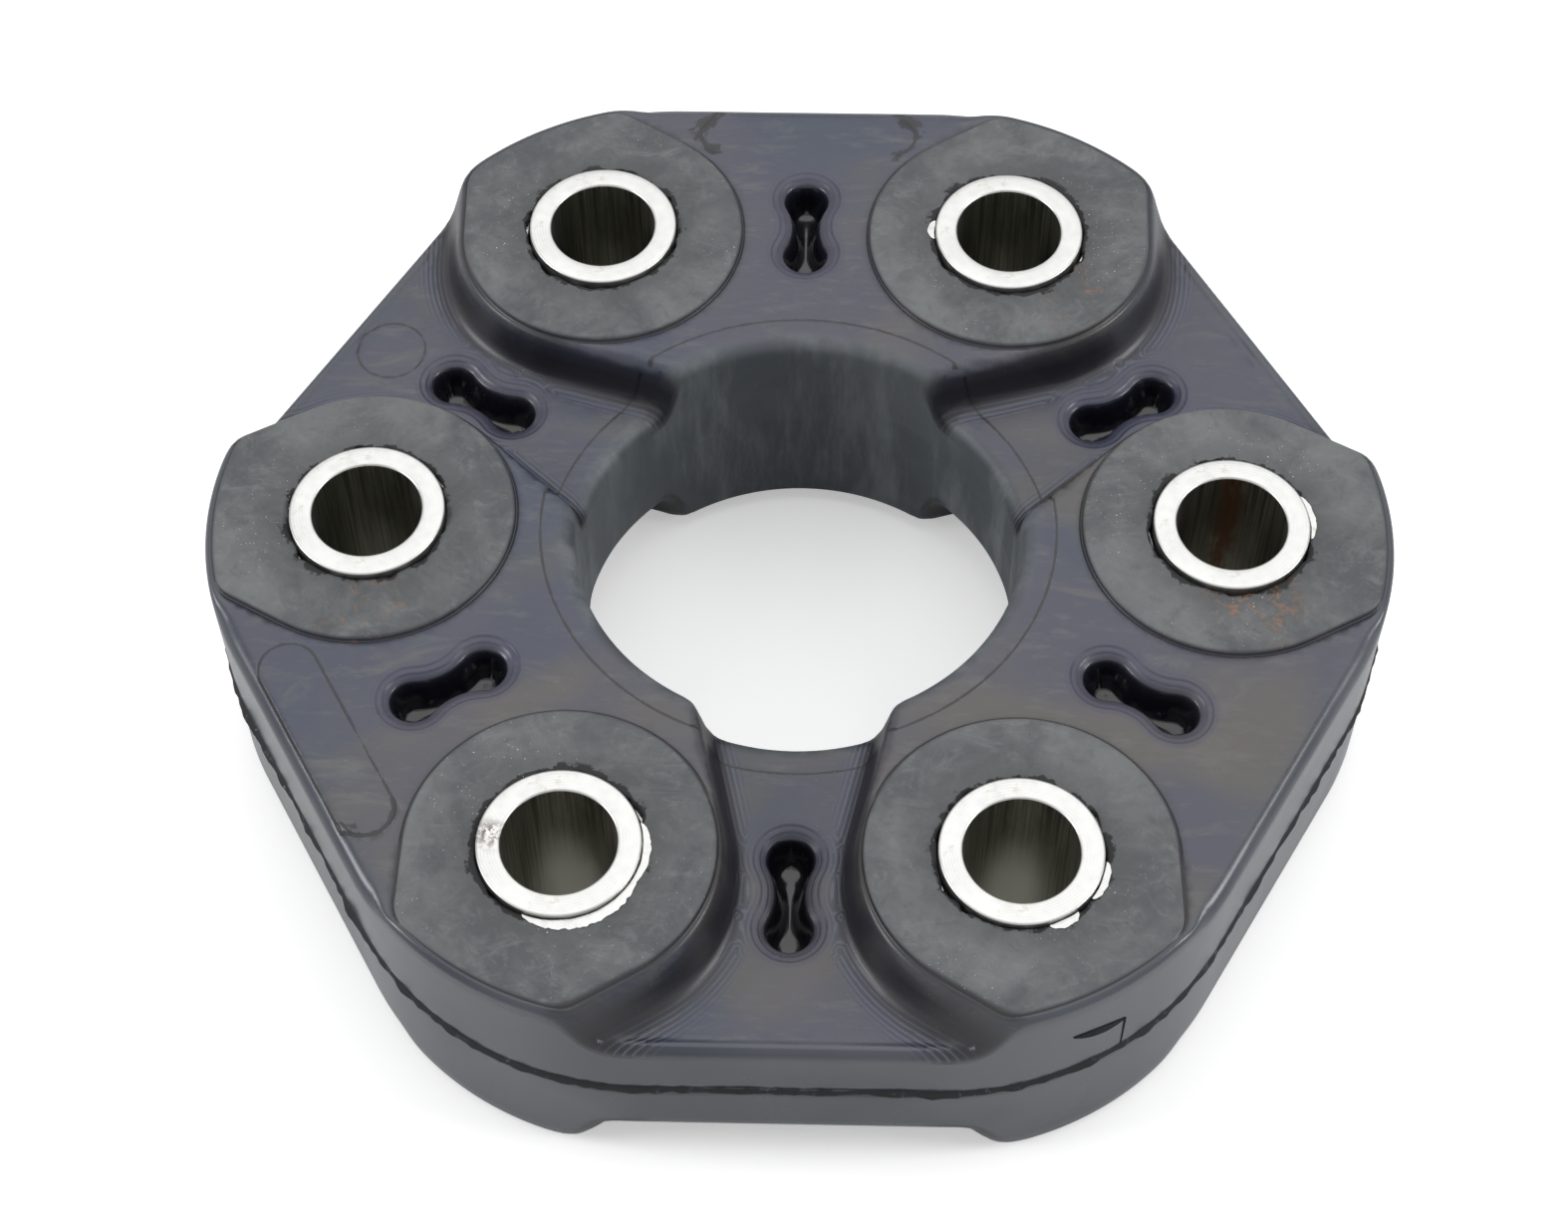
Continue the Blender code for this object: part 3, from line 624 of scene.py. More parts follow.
def traces(p, hole_distance):
    """Height changes on the upper face that don't repeat round the disc, and a mask of its thin lines."""
    flat = np.concatenate((p, np.zeros((len(p), 1))), 1)
    change = 0.02 * layered_noise(flat, 9.0, 3) + 0.008 * layered_noise(flat, 1.8, 5)
    insert = gap_frame(p, SHALLOW_GAPS[1], INSERT_OUT)
    far = stadium_distance(insert, INSERT_HALF_LENGTH, INSERT_HALF_WIDTH)
    worn = 0.45 + 0.55 * smooth(value_noise(flat, 4.0, 7), -0.6, 0.2)
    torn = smooth(value_noise(flat, 1.6, 9), 0.0, 0.5)
    at_left = smooth(-insert[:, 0], 9.8, 11.0)
    lines = bump(far, 0.0, LINE_HALF_WIDTH / 2) * worn
    lines += (bump(far, 0.0, LINE_HALF_WIDTH) + bump(far, 0.0, 0.3) * torn) * at_left
    spared = gap_frame(p, SHALLOW_GAPS[0], INSERT_OUT)
    far = stadium_distance(spared, INSERT_HALF_LENGTH, INSERT_HALF_WIDTH)
    torn = smooth(value_noise(flat, 2.2, 8), -0.3, 0.4)
    at_ends = smooth(np.abs(spared[:, 0]), 10.2, 11.2)
    lines += (bump(far, 0.0, LINE_HALF_WIDTH) + torn * bump(far, 0.0, 0.4)) * at_ends
    stamp = reach(gap_frame(p, DEEP_GAPS[1], STAMP_OUT))
    lines += 0.6 * bump(stamp - STAMP_RADIUS, 0.0, LINE_HALF_WIDTH / 2)
    torn = smooth(layered_noise(flat, 2.4, 11), 0.05, 0.6)
    change -= 0.09 * lines + (0.10 + 0.55 * torn) * (1 - smooth(hole_distance, 0.0, 0.15 + 0.5 * torn))
    return change, lines


def wall_rows(upper, near):
    """Heights of a wall's rows between its two rims. near lists those close to the parting line."""
    far = [upper + (near[0] - upper) * k / 7 for k in range(1, 7)]
    rows = far + [np.full_like(upper, z) for z in near]
    return rows + [-r for r in rows[::-1]]


# Heights of the rows close to the parting line, on the outer wall and in the centre bore
SIDE_ROWS = (2.0, 1.45, 1.05, 0.75, 0.52, 0.35, 0.22, 0.11, 0.035)
INNER_ROWS = (2.4, 1.0, 0.4, 0.12, 0.03)


def outer_wall(p, z):
    """How far the outer wall stands out at its points, and how much of it gets painted shade along the
    flash.
    """
    angle = np.arctan2(p[:, 1], p[:, 0])
    ring = ring_points(60, angle, 0.0)
    middle = 0.25 * layered_noise(ring, 11.0, 21) + 0.22 * layered_noise(ring, 2.3, 22, 3)
    ragged = layered_noise(ring, 5.0, 23, 4)
    height = (0.30 + 0.32 * smooth(ragged, -0.1, 0.6) + 0.17 * value_noise(ring, 1.3, 26)
              + 0.15 * value_noise(ring, 0.7, 27))
    width = 0.17 + 0.07 * value_noise(ring, 2.1, 24)
    off = z - middle
    out = height * bump(off, 0.0, width) - 0.16 * bump(off, 0.55, 0.25) - 0.10 * bump(off, -0.5, 0.25)
    left, right = (smooth(np.cos(angle - math.radians(a)), 0.45, 0.95) for a in (205, 335))
    band = (0.30 + 0.34 * smooth(ragged, -0.4, 0.6) + 0.55 * left + 0.28 * right
            + 0.16 * value_noise(ring, 1.1, 28))
    flash = 1 - smooth(np.abs(off - 0.1), band * 0.7, band * 1.25)
    out = out + 0.03 * layered_noise(np.stack((p[:, 0], p[:, 1], z), 1), 7.0, 25)
    return out, flash


def wall_row(kind, xy, row):
    """Points of a wall's row, moved out or in at its heights, and how much of each gets the flash's painted
    shade.
    """
    flash = np.zeros(len(xy))
    if kind == "side":
        out, flash = outer_wall(xy, row)
        normal = np.roll(xy, -1, axis=0) - np.roll(xy, 1, axis=0)
        normal = np.stack((normal[:, 1], -normal[:, 0]), 1)
        xy = xy + normal / reach(normal)[:, None] * out[:, None]
    elif kind == "bore":
        point = np.concatenate((xy, row[:, None]), 1)
        ridge = 0.06 * bump(row, 0.0, 0.15) + 0.02 * layered_noise(point, 6.0, 51)
        xy = xy - xy / reach(xy)[:, None] * ridge[:, None]
    return np.concatenate((xy, row[:, None]), 1), flash


def add_object(name, data):
    obj = bpy.data.objects.new(name, data)
    bpy.context.scene.collection.objects.link(obj)
    return obj


def add_skin(vertices, triangles, quads, masks):
    """The rubber's mesh from points in millimetres, with each mask as a point attribute."""
    mesh = bpy.data.meshes.new("rubber_skin")
    mesh.vertices.add(len(vertices))
    mesh.vertices.foreach_set("co", (vertices * MM).astype(np.float32).ravel())
    corners = np.concatenate((triangles.ravel(), quads.ravel()))
    starts = np.concatenate((np.arange(len(triangles)) * 3, len(triangles) * 3 + np.arange(len(quads)) * 4))
    mesh.loops.add(len(corners))
    mesh.loops.foreach_set("vertex_index", corners.astype(np.int32))
    mesh.polygons.add(len(starts))
    mesh.polygons.foreach_set("loop_start", starts.astype(np.int32))
    mesh.update(calc_edges=True)
    mesh.validate()
    for name, values in masks.items():
        attribute = mesh.attributes.new(name, "FLOAT", "POINT")
        attribute.data.foreach_set("value", np.concatenate(values).astype(np.float32))
    mesh.shade_smooth()
    return add_object("rubber_skin", mesh)


def make_rubber():
    plan, top, masks, faces = whole_face()
    from_bolt = plan - by_bolt(plan, BOLTS)
    hole = reach(from_bolt) - HOLE_RADIUS
    count = len(plan)

    change, lines = traces(plan, hole)
    upper = np.concatenate((plan, (top + change)[:, None]), 1)
    flat_top = np.concatenate((plan, top[:, None]), 1)
    torn = smooth(layered_noise(flat_top, 2.6, 33), 0.1, 0.7)
    under_top = top + 0.02 * layered_noise(flat_top, 8.0, 31)
    under_top = under_top - (0.1 + 0.4 * torn) * (1 - smooth(hole, 0.0, 0.2 + 0.4 * torn))
    lower = np.concatenate((plan, -under_top[:, None]), 1)
    # The torn lip stands back from the sleeve here and there.
    for face, seed in ((upper, 41), (lower, 42)):
        gap = 0.06 + 0.55 * smooth(layered_noise(face * (1, 1, 0), 1.7, seed), -0.1, 0.6)
        gap = gap * (1 - smooth(hole, 0.1, 0.8))
        face[:, :2] += from_bolt / reach(from_bolt)[:, None] * gap[:, None]

    # Each mask has a list of arrays: the upper face, the lower face, and then a row of a wall at a time.
    edge = outline_all(plan)
    wide, narrow = 1 - smooth(edge, 0.4, 2.4), 1 - smooth(edge, 0.0, 1.5)
    masks["side"] = wide + (narrow - wide) * masks["pad"]
    masks["flash"] = np.zeros(count)
    masks["bore"] = 1 - smooth(reach(plan), 25.3, 27.3)
    masks["lip"] = (1 - smooth(hole, 0.1, 1.1)) * by_bolt(plan, np.array(LIP_SHADE_LEVELS))
    masks["stain"] = 1 - smooth(hole, 0.6, 4.5)
    values = {name: [mask, mask] for name, mask in masks.items()}
    values["line"][0] = np.maximum(masks["line"], lines)

    vertices, quads, total = [upper, lower], [], 2 * count
    for loop in border_loops(faces):
        radius, rim = reach(plan[loop]), upper[loop, 2]
        if radius.max() < BORE_RADIUS + 1:
            kind, rows = "bore", wall_rows(rim, INNER_ROWS)
        elif radius.min() > APOTHEM - 1:
            kind, rows = "side", wall_rows(rim, SIDE_ROWS)
        else:
            kind, rows = "hole", [rim / 2, -rim / 2]
        ids = [loop]
        for row in rows:
            ids.append(total + np.arange(len(loop)))
            total += len(loop)
            points, flash = wall_row(kind, plan[loop], row)
            vertices.append(points)
            here = {kind: 1.0, "flash": flash, "contour": NO_CONTOUR}
            for name in values:
                values[name].append(np.zeros(len(loop)) + here.get(name, 0.0))
        ids.append(loop + count)
        for a, b in zip(ids, ids[1:]):
            quads.append(np.stack((np.roll(a, -1), a, b, np.roll(b, -1)), 1))
    triangles = np.concatenate((faces, faces[:, ::-1] + count))
    return add_skin(np.concatenate(vertices), triangles, np.concatenate(quads), values)


def outline_all(plan):
    """Distance inside the outline for points all round the disc."""
    angle = np.arctan2(plan[:, 1], plan[:, 0])
    inside = np.full(len(plan), 99.0)
    for gap in DEEP_GAPS + SHALLOW_GAPS:
        local = gap_frame(plan, gap)
        away = np.abs((angle - gap + math.pi) % (2 * math.pi) - math.pi)
        here = away <= HALF_STEP + 1e-6
        folded = np.stack((np.abs(local[:, 0]), local[:, 1]), 1)
        inside[here] = outline_distance(folded)[here]
    return inside


# Finishes. All colours are linear.

WEB_BLUE, WEB_VIOLET, WEB_BROWN = (0.030, 0.040, 0.068), (0.046, 0.046, 0.070), (0.086, 0.076, 0.060)
WEB_SCUFF, WEB_BRUSHED = (0.130, 0.132, 0.134), (0.120, 0.116, 0.104)
# Painted highlight: violet on the pocket rims. Painted reflection: blue at the valley's foot
RIM_HIGHLIGHT_VIOLET, FOOT_REFLECTION_BLUE = (0.044, 0.042, 0.080), (0.052, 0.066, 0.125)
PAD_DARK, PAD_PALE = (0.048, 0.053, 0.059), (0.100, 0.106, 0.110)
PAD_RUBBED, PAD_WIPED = (0.165, 0.175, 0.176), (0.185, 0.190, 0.188)
PAD_STAIN = (0.046, 0.046, 0.050)
MOTTLE_PALE, MOTTLE_DARK = (0.190, 0.198, 0.196), (0.030, 0.033, 0.038)
SIDE_DARK, SIDE_PALE = (0.030, 0.036, 0.052), (0.060, 0.068, 0.084)
BORE_DARK, BORE_PALE, BORE_RUBBED = (0.058, 0.067, 0.078), (0.150, 0.164, 0.176), (0.130, 0.142, 0.152)
# Painted shade: near black on the valley walls and in the pockets
VALLEY_WALL_SHADE, POCKET_SHADE_BLACK = (0.008, 0.0075, 0.0105), (0.004, 0.0035, 0.006)
# Black for the mould lines, and painted shade along the creases at the pads' edges
LINE_BLACK_AND_CREASE_SHADE = (0.004, 0.004, 0.005)
# Painted shade and painted highlight for the tool marks' stripes
MARK_SHADE, MARK_HIGHLIGHT = (0.008, 0.008, 0.014), (0.135, 0.145, 0.210)
# Painted shade: near black under the flash and in the gap at each sleeve's torn lip
FLASH_SHADE_BLACK, LIP_GAP_SHADE_BLACK = (0.002, 0.002, 0.003), (0.003, 0.003, 0.004)
DUST, RUST = (0.55, 0.56, 0.56), (0.27, 0.125, 0.055)
SCRAP_BLACK, SCRAP_GREY = (0.004, 0.004, 0.006), (0.014, 0.015, 0.018)
LINED_DARK, LINED_PALE, LINED_LIT = (0.20, 0.20, 0.17), (0.52, 0.51, 0.44), (0.95, 0.94, 0.86)
LINED_DIRT, LINED_RUST = (0.16, 0.15, 0.12), (0.30, 0.14, 0.07)
TURNED_PALE, TURNED_DARK = (0.48, 0.48, 0.47), (0.435, 0.435, 0.425)
TURNED_STAIN, TURNED_SPOT = (0.33, 0.29, 0.23), (0.055, 0.035, 0.022)
CORD_DARK, CORD_PALE, CORD_STAIN = (0.30, 0.24, 0.15), (0.58, 0.50, 0.36), (0.20, 0.16, 0.11)
# Dust: cells to a metre, size of a grain, and the share of cells left out
DUST_SIZES = ((1100.0, 0.085, 0.75), (2200.0, 0.11, 0.6))
# Places and reach, in metres, of the rust rubbed off the bolts. The first is the strongest.
RUST_PLACES = (((0.0502, -0.0104, 0.0156), 0.0074), ((0.030, 0.034, 0.0156), 0.009),
               ((-0.047, -0.013, 0.0156), 0.007))
# Place and reach, in metres, of the brown spots on one sleeve's end
SPOTS_PLACE, SPOTS_REACH = (-0.0072, 0.0008, 0.0163), 0.0026
MARK_TURN = 11.5    # radians of a tool mark's wave for each millimetre


class Finish:
    """A node material, built one node at a time round its Principled shader."""

    def __init__(self, name):
        self.material = bpy.data.materials.new(name)
        self.material.use_nodes = True
        self.tree = self.material.node_tree
        self.shader = self.tree.nodes["Principled BSDF"]
        self.place = self.node("TexCoord").outputs["Object"]

    def put(self, socket, value):
        if isinstance(value, bpy.types.NodeSocket):
            self.tree.links.new(value, socket)
        elif isinstance(value, tuple) and len(value) == 3 and socket.type == "RGBA":
            socket.default_value = (*value, 1.0)
        else:
            socket.default_value = value

    def set(self, **values):
        """Sets the shader's own sockets. Their names have spaces where the keywords have underscores."""
        for name, value in values.items():
            self.put(self.shader.inputs[name.replace("_", " ")], value)

    def node(self, kind, inputs=(), **settings):
        made = self.tree.nodes.new("ShaderNode" + kind)
        for name, value in settings.items():
            setattr(made, name, value)
        for name, value in dict(inputs).items():
            self.put(made.inputs[name], value)
        return made

    def math(self, operation, a, b=0.0, c=0.0):
        return self.node("Math", {0: a, 1: b, 2: c}, operation=operation).outputs[0]

    def times(self, a, b):
        return self.math("MULTIPLY", a, b)

    def span(self, value, low, high, to_low=0.0, to_high=1.0):
        """value mapped smoothly from one range to another, and held at its ends."""
        made = self.node("MapRange", {"Value": value, "From Min": low, "From Max": high,
                                      "To Min": to_low, "To Max": to_high}, interpolation_type="SMOOTHSTEP")
        return made.outputs["Result"]

    def mixed(self, kind, first_input, output, share, a, b):
        made = self.node("Mix", {0: share, first_input: a, first_input + 1: b}, data_type=kind)
        return made.outputs[output]

    def mix(self, share, a, b):
        return self.mixed("RGBA", 6, 2, share, a, b)

    def blend(self, share, a, b):
        return self.mixed("FLOAT", 2, 0, share, a, b)

    def over(self, under, colour, share, level):
        """A colour laid over another by a share of a level."""
        return self.mix(self.times(share, level), under, colour)

    def noise(self, scale, detail=3.0, roughness=0.55, distortion=0.0, stretch=None, turn=0.0):
        """Noise, stretched along the axes turned about Z where that is asked for."""
        vector = self.place
        if stretch:
            vector = self.node("Mapping", {"Vector": vector, "Scale": stretch,
                                           "Rotation": (0, 0, turn)}).outputs[0]
        made = self.node("TexNoise", {"Vector": vector, "Scale": scale, "Detail": detail,
                                      "Roughness": roughness, "Distortion": distortion})
        return made.outputs["Fac"]

    def attribute(self, name):
        return self.node("Attribute", attribute_name=name).outputs["Fac"]

    def bumps(self, *layers):
        """Bump from (height, distance in metres, strength) layers, one on the other."""
        normal = None
        for height, distance, strength in layers:
            made = self.node("Bump", {"Height": height, "Distance": distance, "Strength": strength})
            if normal is not None:
                self.put(made.inputs["Normal"], normal)
            normal = made.outputs[0]
        self.set(Normal=normal)

    def ragged(self, mask, noise, wander, level):
        """A mask cut off at a level that wanders with a noise, and never outside the mask."""
        cut = self.math("ADD", mask, self.span(noise, 0.3, 0.7, -wander, wander))
        return self.times(self.span(cut, level - 0.1, level + 0.1), self.span(mask, 0.02, 0.12))

    def near(self, centre, radius):
        """1 at a place in metres, falling to 0 at a radius."""
        far = self.node("VectorMath", {0: self.place, 1: centre}, operation="DISTANCE").outputs["Value"]
        return self.span(far, 0.0, radius, 1.0, 0.0)


RUBBER_MASKS = ("pad", "crease", "wall", "foot", "pocket", "rim", "contour", "side", "flash", "bore",
                "line", "lip", "stain")


def rubber_finish():
    """Moulded rubber: bloom on the webs, smudged pads, a glossier side, tool marks, tears and rust. Painted
    shade darkens the valley walls, pockets, creases, flash and torn lips, and painted highlight and
    reflection lie on the pocket rims, the valley's foot and the tool marks.
    """
    f = Finish("rubber_finish")
    (on_pad, crease, wall, foot, pocket, rim, contour, on_side, flash, on_bore, line, lip,
     stain) = (f.attribute(name) for name in RUBBER_MASKS)
    # Webs: broad clouds of blue, violet and brown
    clouds = f.noise(42, 2, 0.5)
    drift = f.noise(30, 2, 0.5, 0.6, (1.0, 1.4, 1.0), 0.8)
    fine = f.noise(700, 3, 0.65)
    scuffs = f.noise(160, 4, 0.7, 0.0, (1.0, 3.5, 1.0), 0.5)
    brushed = f.noise(75, 5, 0.72, 0.9, (1.0, 3.2, 1.0), -0.9)
    web = f.mix(f.span(clouds, 0.36, 0.60), WEB_BLUE, WEB_VIOLET)
    web = f.over(web, WEB_BROWN, f.span(drift, 0.50, 0.68), 0.65)
    web = f.over(web, WEB_SCUFF, f.span(scuffs, 0.50, 0.75), 0.45)
    web = f.over(web, WEB_BRUSHED, f.span(brushed, 0.52, 0.72), 0.45)
    # Painted highlight: violet laid along the pocket rims
    web = f.over(web, RIM_HIGHLIGHT_VIOLET, rim, 0.55)
    # Painted reflection: blue laid at the valley's foot
    web = f.over(web, FOOT_REFLECTION_BLUE, foot, f.span(clouds, 0.35, 0.6, 0.3, 0.7))
    # Pads: matt, with smudges, rubbed places and a stain round each sleeve
    smudge = f.noise(110, 6, 0.66, distortion=1.2)
    rubbed = f.noise(38, 4, 0.62, distortion=0.8)
    wiped = f.noise(110, 6, 0.72, 1.6, (1.0, 2.4, 1.0), 0.9)
    mottle = f.noise(430, 4, 0.75, distortion=0.5)
    pad = f.mix(f.span(smudge, 0.36, 0.66), PAD_DARK, PAD_PALE)
    pad = f.over(pad, PAD_RUBBED, f.span(rubbed, 0.48, 0.68), 0.55)
    pad = f.over(pad, PAD_WIPED, f.span(wiped, 0.52, 0.72), 0.45)
    pad = f.mix(f.span(mottle, 0.50, 0.72, 0.0, 0.34), pad, MOTTLE_PALE)
    pad = f.mix(f.span(mottle, 0.28, 0.48, 0.40, 0.0), pad, MOTTLE_DARK)
    pad = f.over(pad, PAD_STAIN, stain, f.span(smudge, 0.3, 0.7, 0.75, 0.35))
    # Outer wall, centre bore and valley walls, the valley walls darkened near black as painted shade
    side = f.mix(f.span(clouds, 0.35, 0.65), SIDE_DARK, SIDE_PALE)
    streaks = f.noise(60, 5, 0.7, stretch=(3.0, 3.0, 0.5))
    inner = f.mix(f.span(streaks, 0.42, 0.7), BORE_DARK, BORE_PALE)
    inner = f.over(inner, BORE_RUBBED, f.span(rubbed, 0.45, 0.65), 0.4)
    colour = f.mix(on_side, f.mix(on_pad, web, pad), side)
    colour = f.over(f.mix(on_bore, colour, inner), VALLEY_WALL_SHADE, wall, 0.92)
    # Fine tool marks that follow the valley's foot and the pocket's rim, bumped, with painted shade between
    # their ridges and painted highlight on them
    marks = f.math("SINE", f.math("MULTIPLY_ADD", contour, MARK_TURN, f.times(f.noise(60), 3.0)))
    broken = f.span(f.noise(90), 0.32, 0.55)
    marked = f.times(f.math("MAXIMUM", foot, f.times(rim, 0.45)), broken)
    colour = f.over(colour, MARK_SHADE, marked, f.span(marks, -0.6, 1.0, 0.55, 0.0))
    colour = f.over(colour, MARK_HIGHLIGHT, f.times(foot, broken), f.span(marks, 0.3, 1.0, 0.0, 0.5))
    # Pockets, creases, mould lines and torn edges, near black: painted shade in the pockets and creases,
    # under the flash and in the gap at each torn lip, and the mould lines' own dark
    # Painted shade: the band along the flash, cut ragged, darkened near black
    torn = f.ragged(flash, f.noise(620, 4, 0.8, distortion=1.0), 0.72, 0.42)
    # Painted shade: the gap at each sleeve's torn lip, cut ragged, darkened near black
    lip_shade = f.ragged(lip, f.noise(300, 4, 0.7), 0.65, 0.55)
    # Painted shade along the creases at the pads' edges; the mould lines keep their own black
    for black, share, level in ((POCKET_SHADE_BLACK, pocket, 0.95), (LINE_BLACK_AND_CREASE_SHADE, crease, 0.95),
                                (LINE_BLACK_AND_CREASE_SHADE, f.ragged(line, f.noise(900, 2), 0.3, 0.15), 0.93),
                                (FLASH_SHADE_BLACK, torn, 0.97), (LIP_GAP_SHADE_BLACK, lip_shade, 0.97)):
        colour = f.over(colour, black, share, level)
    # Grains of pale dust, mostly on the pads
    for scale, size, left_out in DUST_SIZES:
        cells = f.node("TexVoronoi", {"Vector": f.place, "Scale": scale, "Randomness": 1.0}).outputs
        picked = f.math("GREATER_THAN", f.node("SeparateColor", {0: cells["Color"]}).outputs[0], left_out)
        grain = f.times(f.math("LESS_THAN", cells["Distance"], size), picked)
        grain = f.times(grain, f.span(f.noise(95, 3), 0.47, 0.62))
        grain = f.times(grain, f.blend(on_side, f.blend(on_pad, 0.15, 0.85), 0.0))
        colour = f.mix(grain, colour, DUST)
    # Rust rubbed off the bolts
    flecks = f.noise(620, 6, 0.75, distortion=0.6)
    strong, *faint = (f.near(*place) for place in RUST_PLACES)
    rust = f.math("MAXIMUM", f.times(strong, f.span(flecks, 0.52, 0.61)),
                  f.times(f.math("MAXIMUM", *faint), f.span(flecks, 0.56, 0.64)))
    colour = f.over(colour, RUST, rust, 0.75)

    gloss = f.blend(on_pad, f.span(scuffs, 0.3, 0.8, 0.30, 0.46), f.span(smudge, 0.3, 0.75, 0.50, 0.66))
    for mask, level in ((on_side, f.span(clouds, 0.3, 0.7, 0.18, 0.26)), (on_bore, 0.55), (wall, 0.37),
                        (pocket, 0.14), (f.math("MAXIMUM", torn, lip_shade), 0.75)):
        gloss = f.blend(mask, gloss, level)
    f.set(Base_Color=colour, Roughness=gloss)
    f.bumps((f.times(fine, f.blend(on_side, 1.0, 0.12)), 0.00003, 0.5),
            (f.times(scuffs, f.blend(on_side, 1.0, 0.4)), 0.00005, 0.25),
            (f.times(marks, marked), 0.00003, 0.45))
    return f.material


def scrap_finish():
    """Black, matt torn rubber."""
    f = Finish("scrap_finish")
    grain = f.noise(500, 4, 0.6)
    f.set(Base_Color=f.mix(grain, SCRAP_BLACK, SCRAP_GREY),
          Roughness=f.span(grain, 0.3, 0.7, 0.7, 0.9), Specular_IOR_Level=0.15)
    f.bumps((grain, 0.00005, 0.4))
    return f.material


def bore_finish(name, foot, rusty=False):
    """The lined inner wall of a sleeve. foot says how pale its lower part is, where the floor lights it."""
    f = Finish(name)
    lines = f.noise(1.0, 5, 0.7, stretch=(2600, 2600, 50))
    dirt = f.noise(120, 4, 0.6, stretch=(1.0, 1.0, 0.4))
    colour = f.mix(f.span(lines, 0.30, 0.70), LINED_DARK, LINED_PALE)
    colour = f.mix(f.span(dirt, 0.55, 0.75, 0.0, 0.6), colour, LINED_DIRT)
    x, _, z = f.node("SeparateXYZ", {0: f.place}).outputs
    deep = f.span(z, -0.002, 0.011, 1.0, 0.0)
    middle = f.span(f.math("ABSOLUTE", x), 0.0015, 0.0052, 1.0, 0.0)
    colour = f.over(colour, LINED_LIT, f.times(deep, middle), foot)
    if rusty:
        run = f.span(f.math("ABSOLUTE", f.math("SUBTRACT", x, 0.0006)), 0.0004, 0.0024, 1, 0)
        patches = f.noise(260, 5, 0.7, stretch=(1.0, 1.0, 0.35))
        colour = f.over(colour, LINED_RUST, f.times(run, f.span(patches, 0.44, 0.56)), 0.85)
    f.set(Metallic=1.0, Base_Color=colour, Roughness=f.span(lines, 0.3, 0.8, 0.28, 0.42))
    f.bumps((lines, 0.00002, 0.3))
    return f.material


def end_finish(name, spotted=False):
    """A turned steel end with faint rings and stains, and brown spots on one of them."""
    f = Finish(name)
    rings = f.node("TexWave", {"Vector": f.place, "Scale": 950.0, "Distortion": 0.6, "Detail": 1.0},
                   wave_type="RINGS", rings_direction="Z").outputs["Fac"]
    share = f.times(rings, f.span(f.noise(200), 0.35, 0.65))
    colour = f.mix(share, TURNED_PALE, TURNED_DARK)
    colour = f.mix(f.span(f.noise(520, 5, 0.75), 0.60, 0.68, 0.0, 0.45), colour, TURNED_STAIN)
    if spotted:
        specks = f.span(f.noise(1500, 4, 0.7), 0.44, 0.56)
        spots = f.times(f.near(SPOTS_PLACE, SPOTS_REACH), specks)
        colour = f.mix(spots, colour, TURNED_SPOT)
    f.set(Metallic=1.0, Base_Color=colour, Roughness=f.span(f.noise(900, 4, 0.6), 0.3, 0.8, 0.30, 0.44))
    f.bumps((rings, 0.00002, 0.17))
    return f.material


def cord_finish():
    """Wound cord under a thin rubber skin, as it would look with the rubber off."""
    f = Finish("cord_finish")
    wound = f.node("TexWave", {"Vector": f.place, "Scale": 420.0, "Distortion": 1.2, "Detail": 2.0},
                   wave_type="BANDS", bands_direction="Z").outputs["Fac"]
    colour = f.mix(wound, CORD_DARK, CORD_PALE)
    f.set(Base_Color=f.mix(f.span(f.noise(300), 0.4, 0.7, 0.0, 0.5), colour, CORD_STAIN),
          Roughness=f.span(wound, 0.0, 1.0, 0.75, 0.9))
    f.bumps((wound, 0.0001, 0.6))
    return f.material


# Sleeves

SLEEVE_SIDES = 96
# Radius of a sleeve's section and height from its end, with fine rounds at the edges
SLEEVE_MOUTH = ((6.1, -0.34), (6.11, -0.24), (6.16, -0.14), (6.26, -0.03), (6.36, -0.004))
SLEEVE_SECTION = ((6.95, 0.0), (7.8, 0.0), (8.40, -0.01), (8.58, -0.05), (8.65, -0.14), (8.67, -0.30))
OUTER_ROWS, BORE_ROWS = 6, 14
SHARP_FROM = math.radians(50)


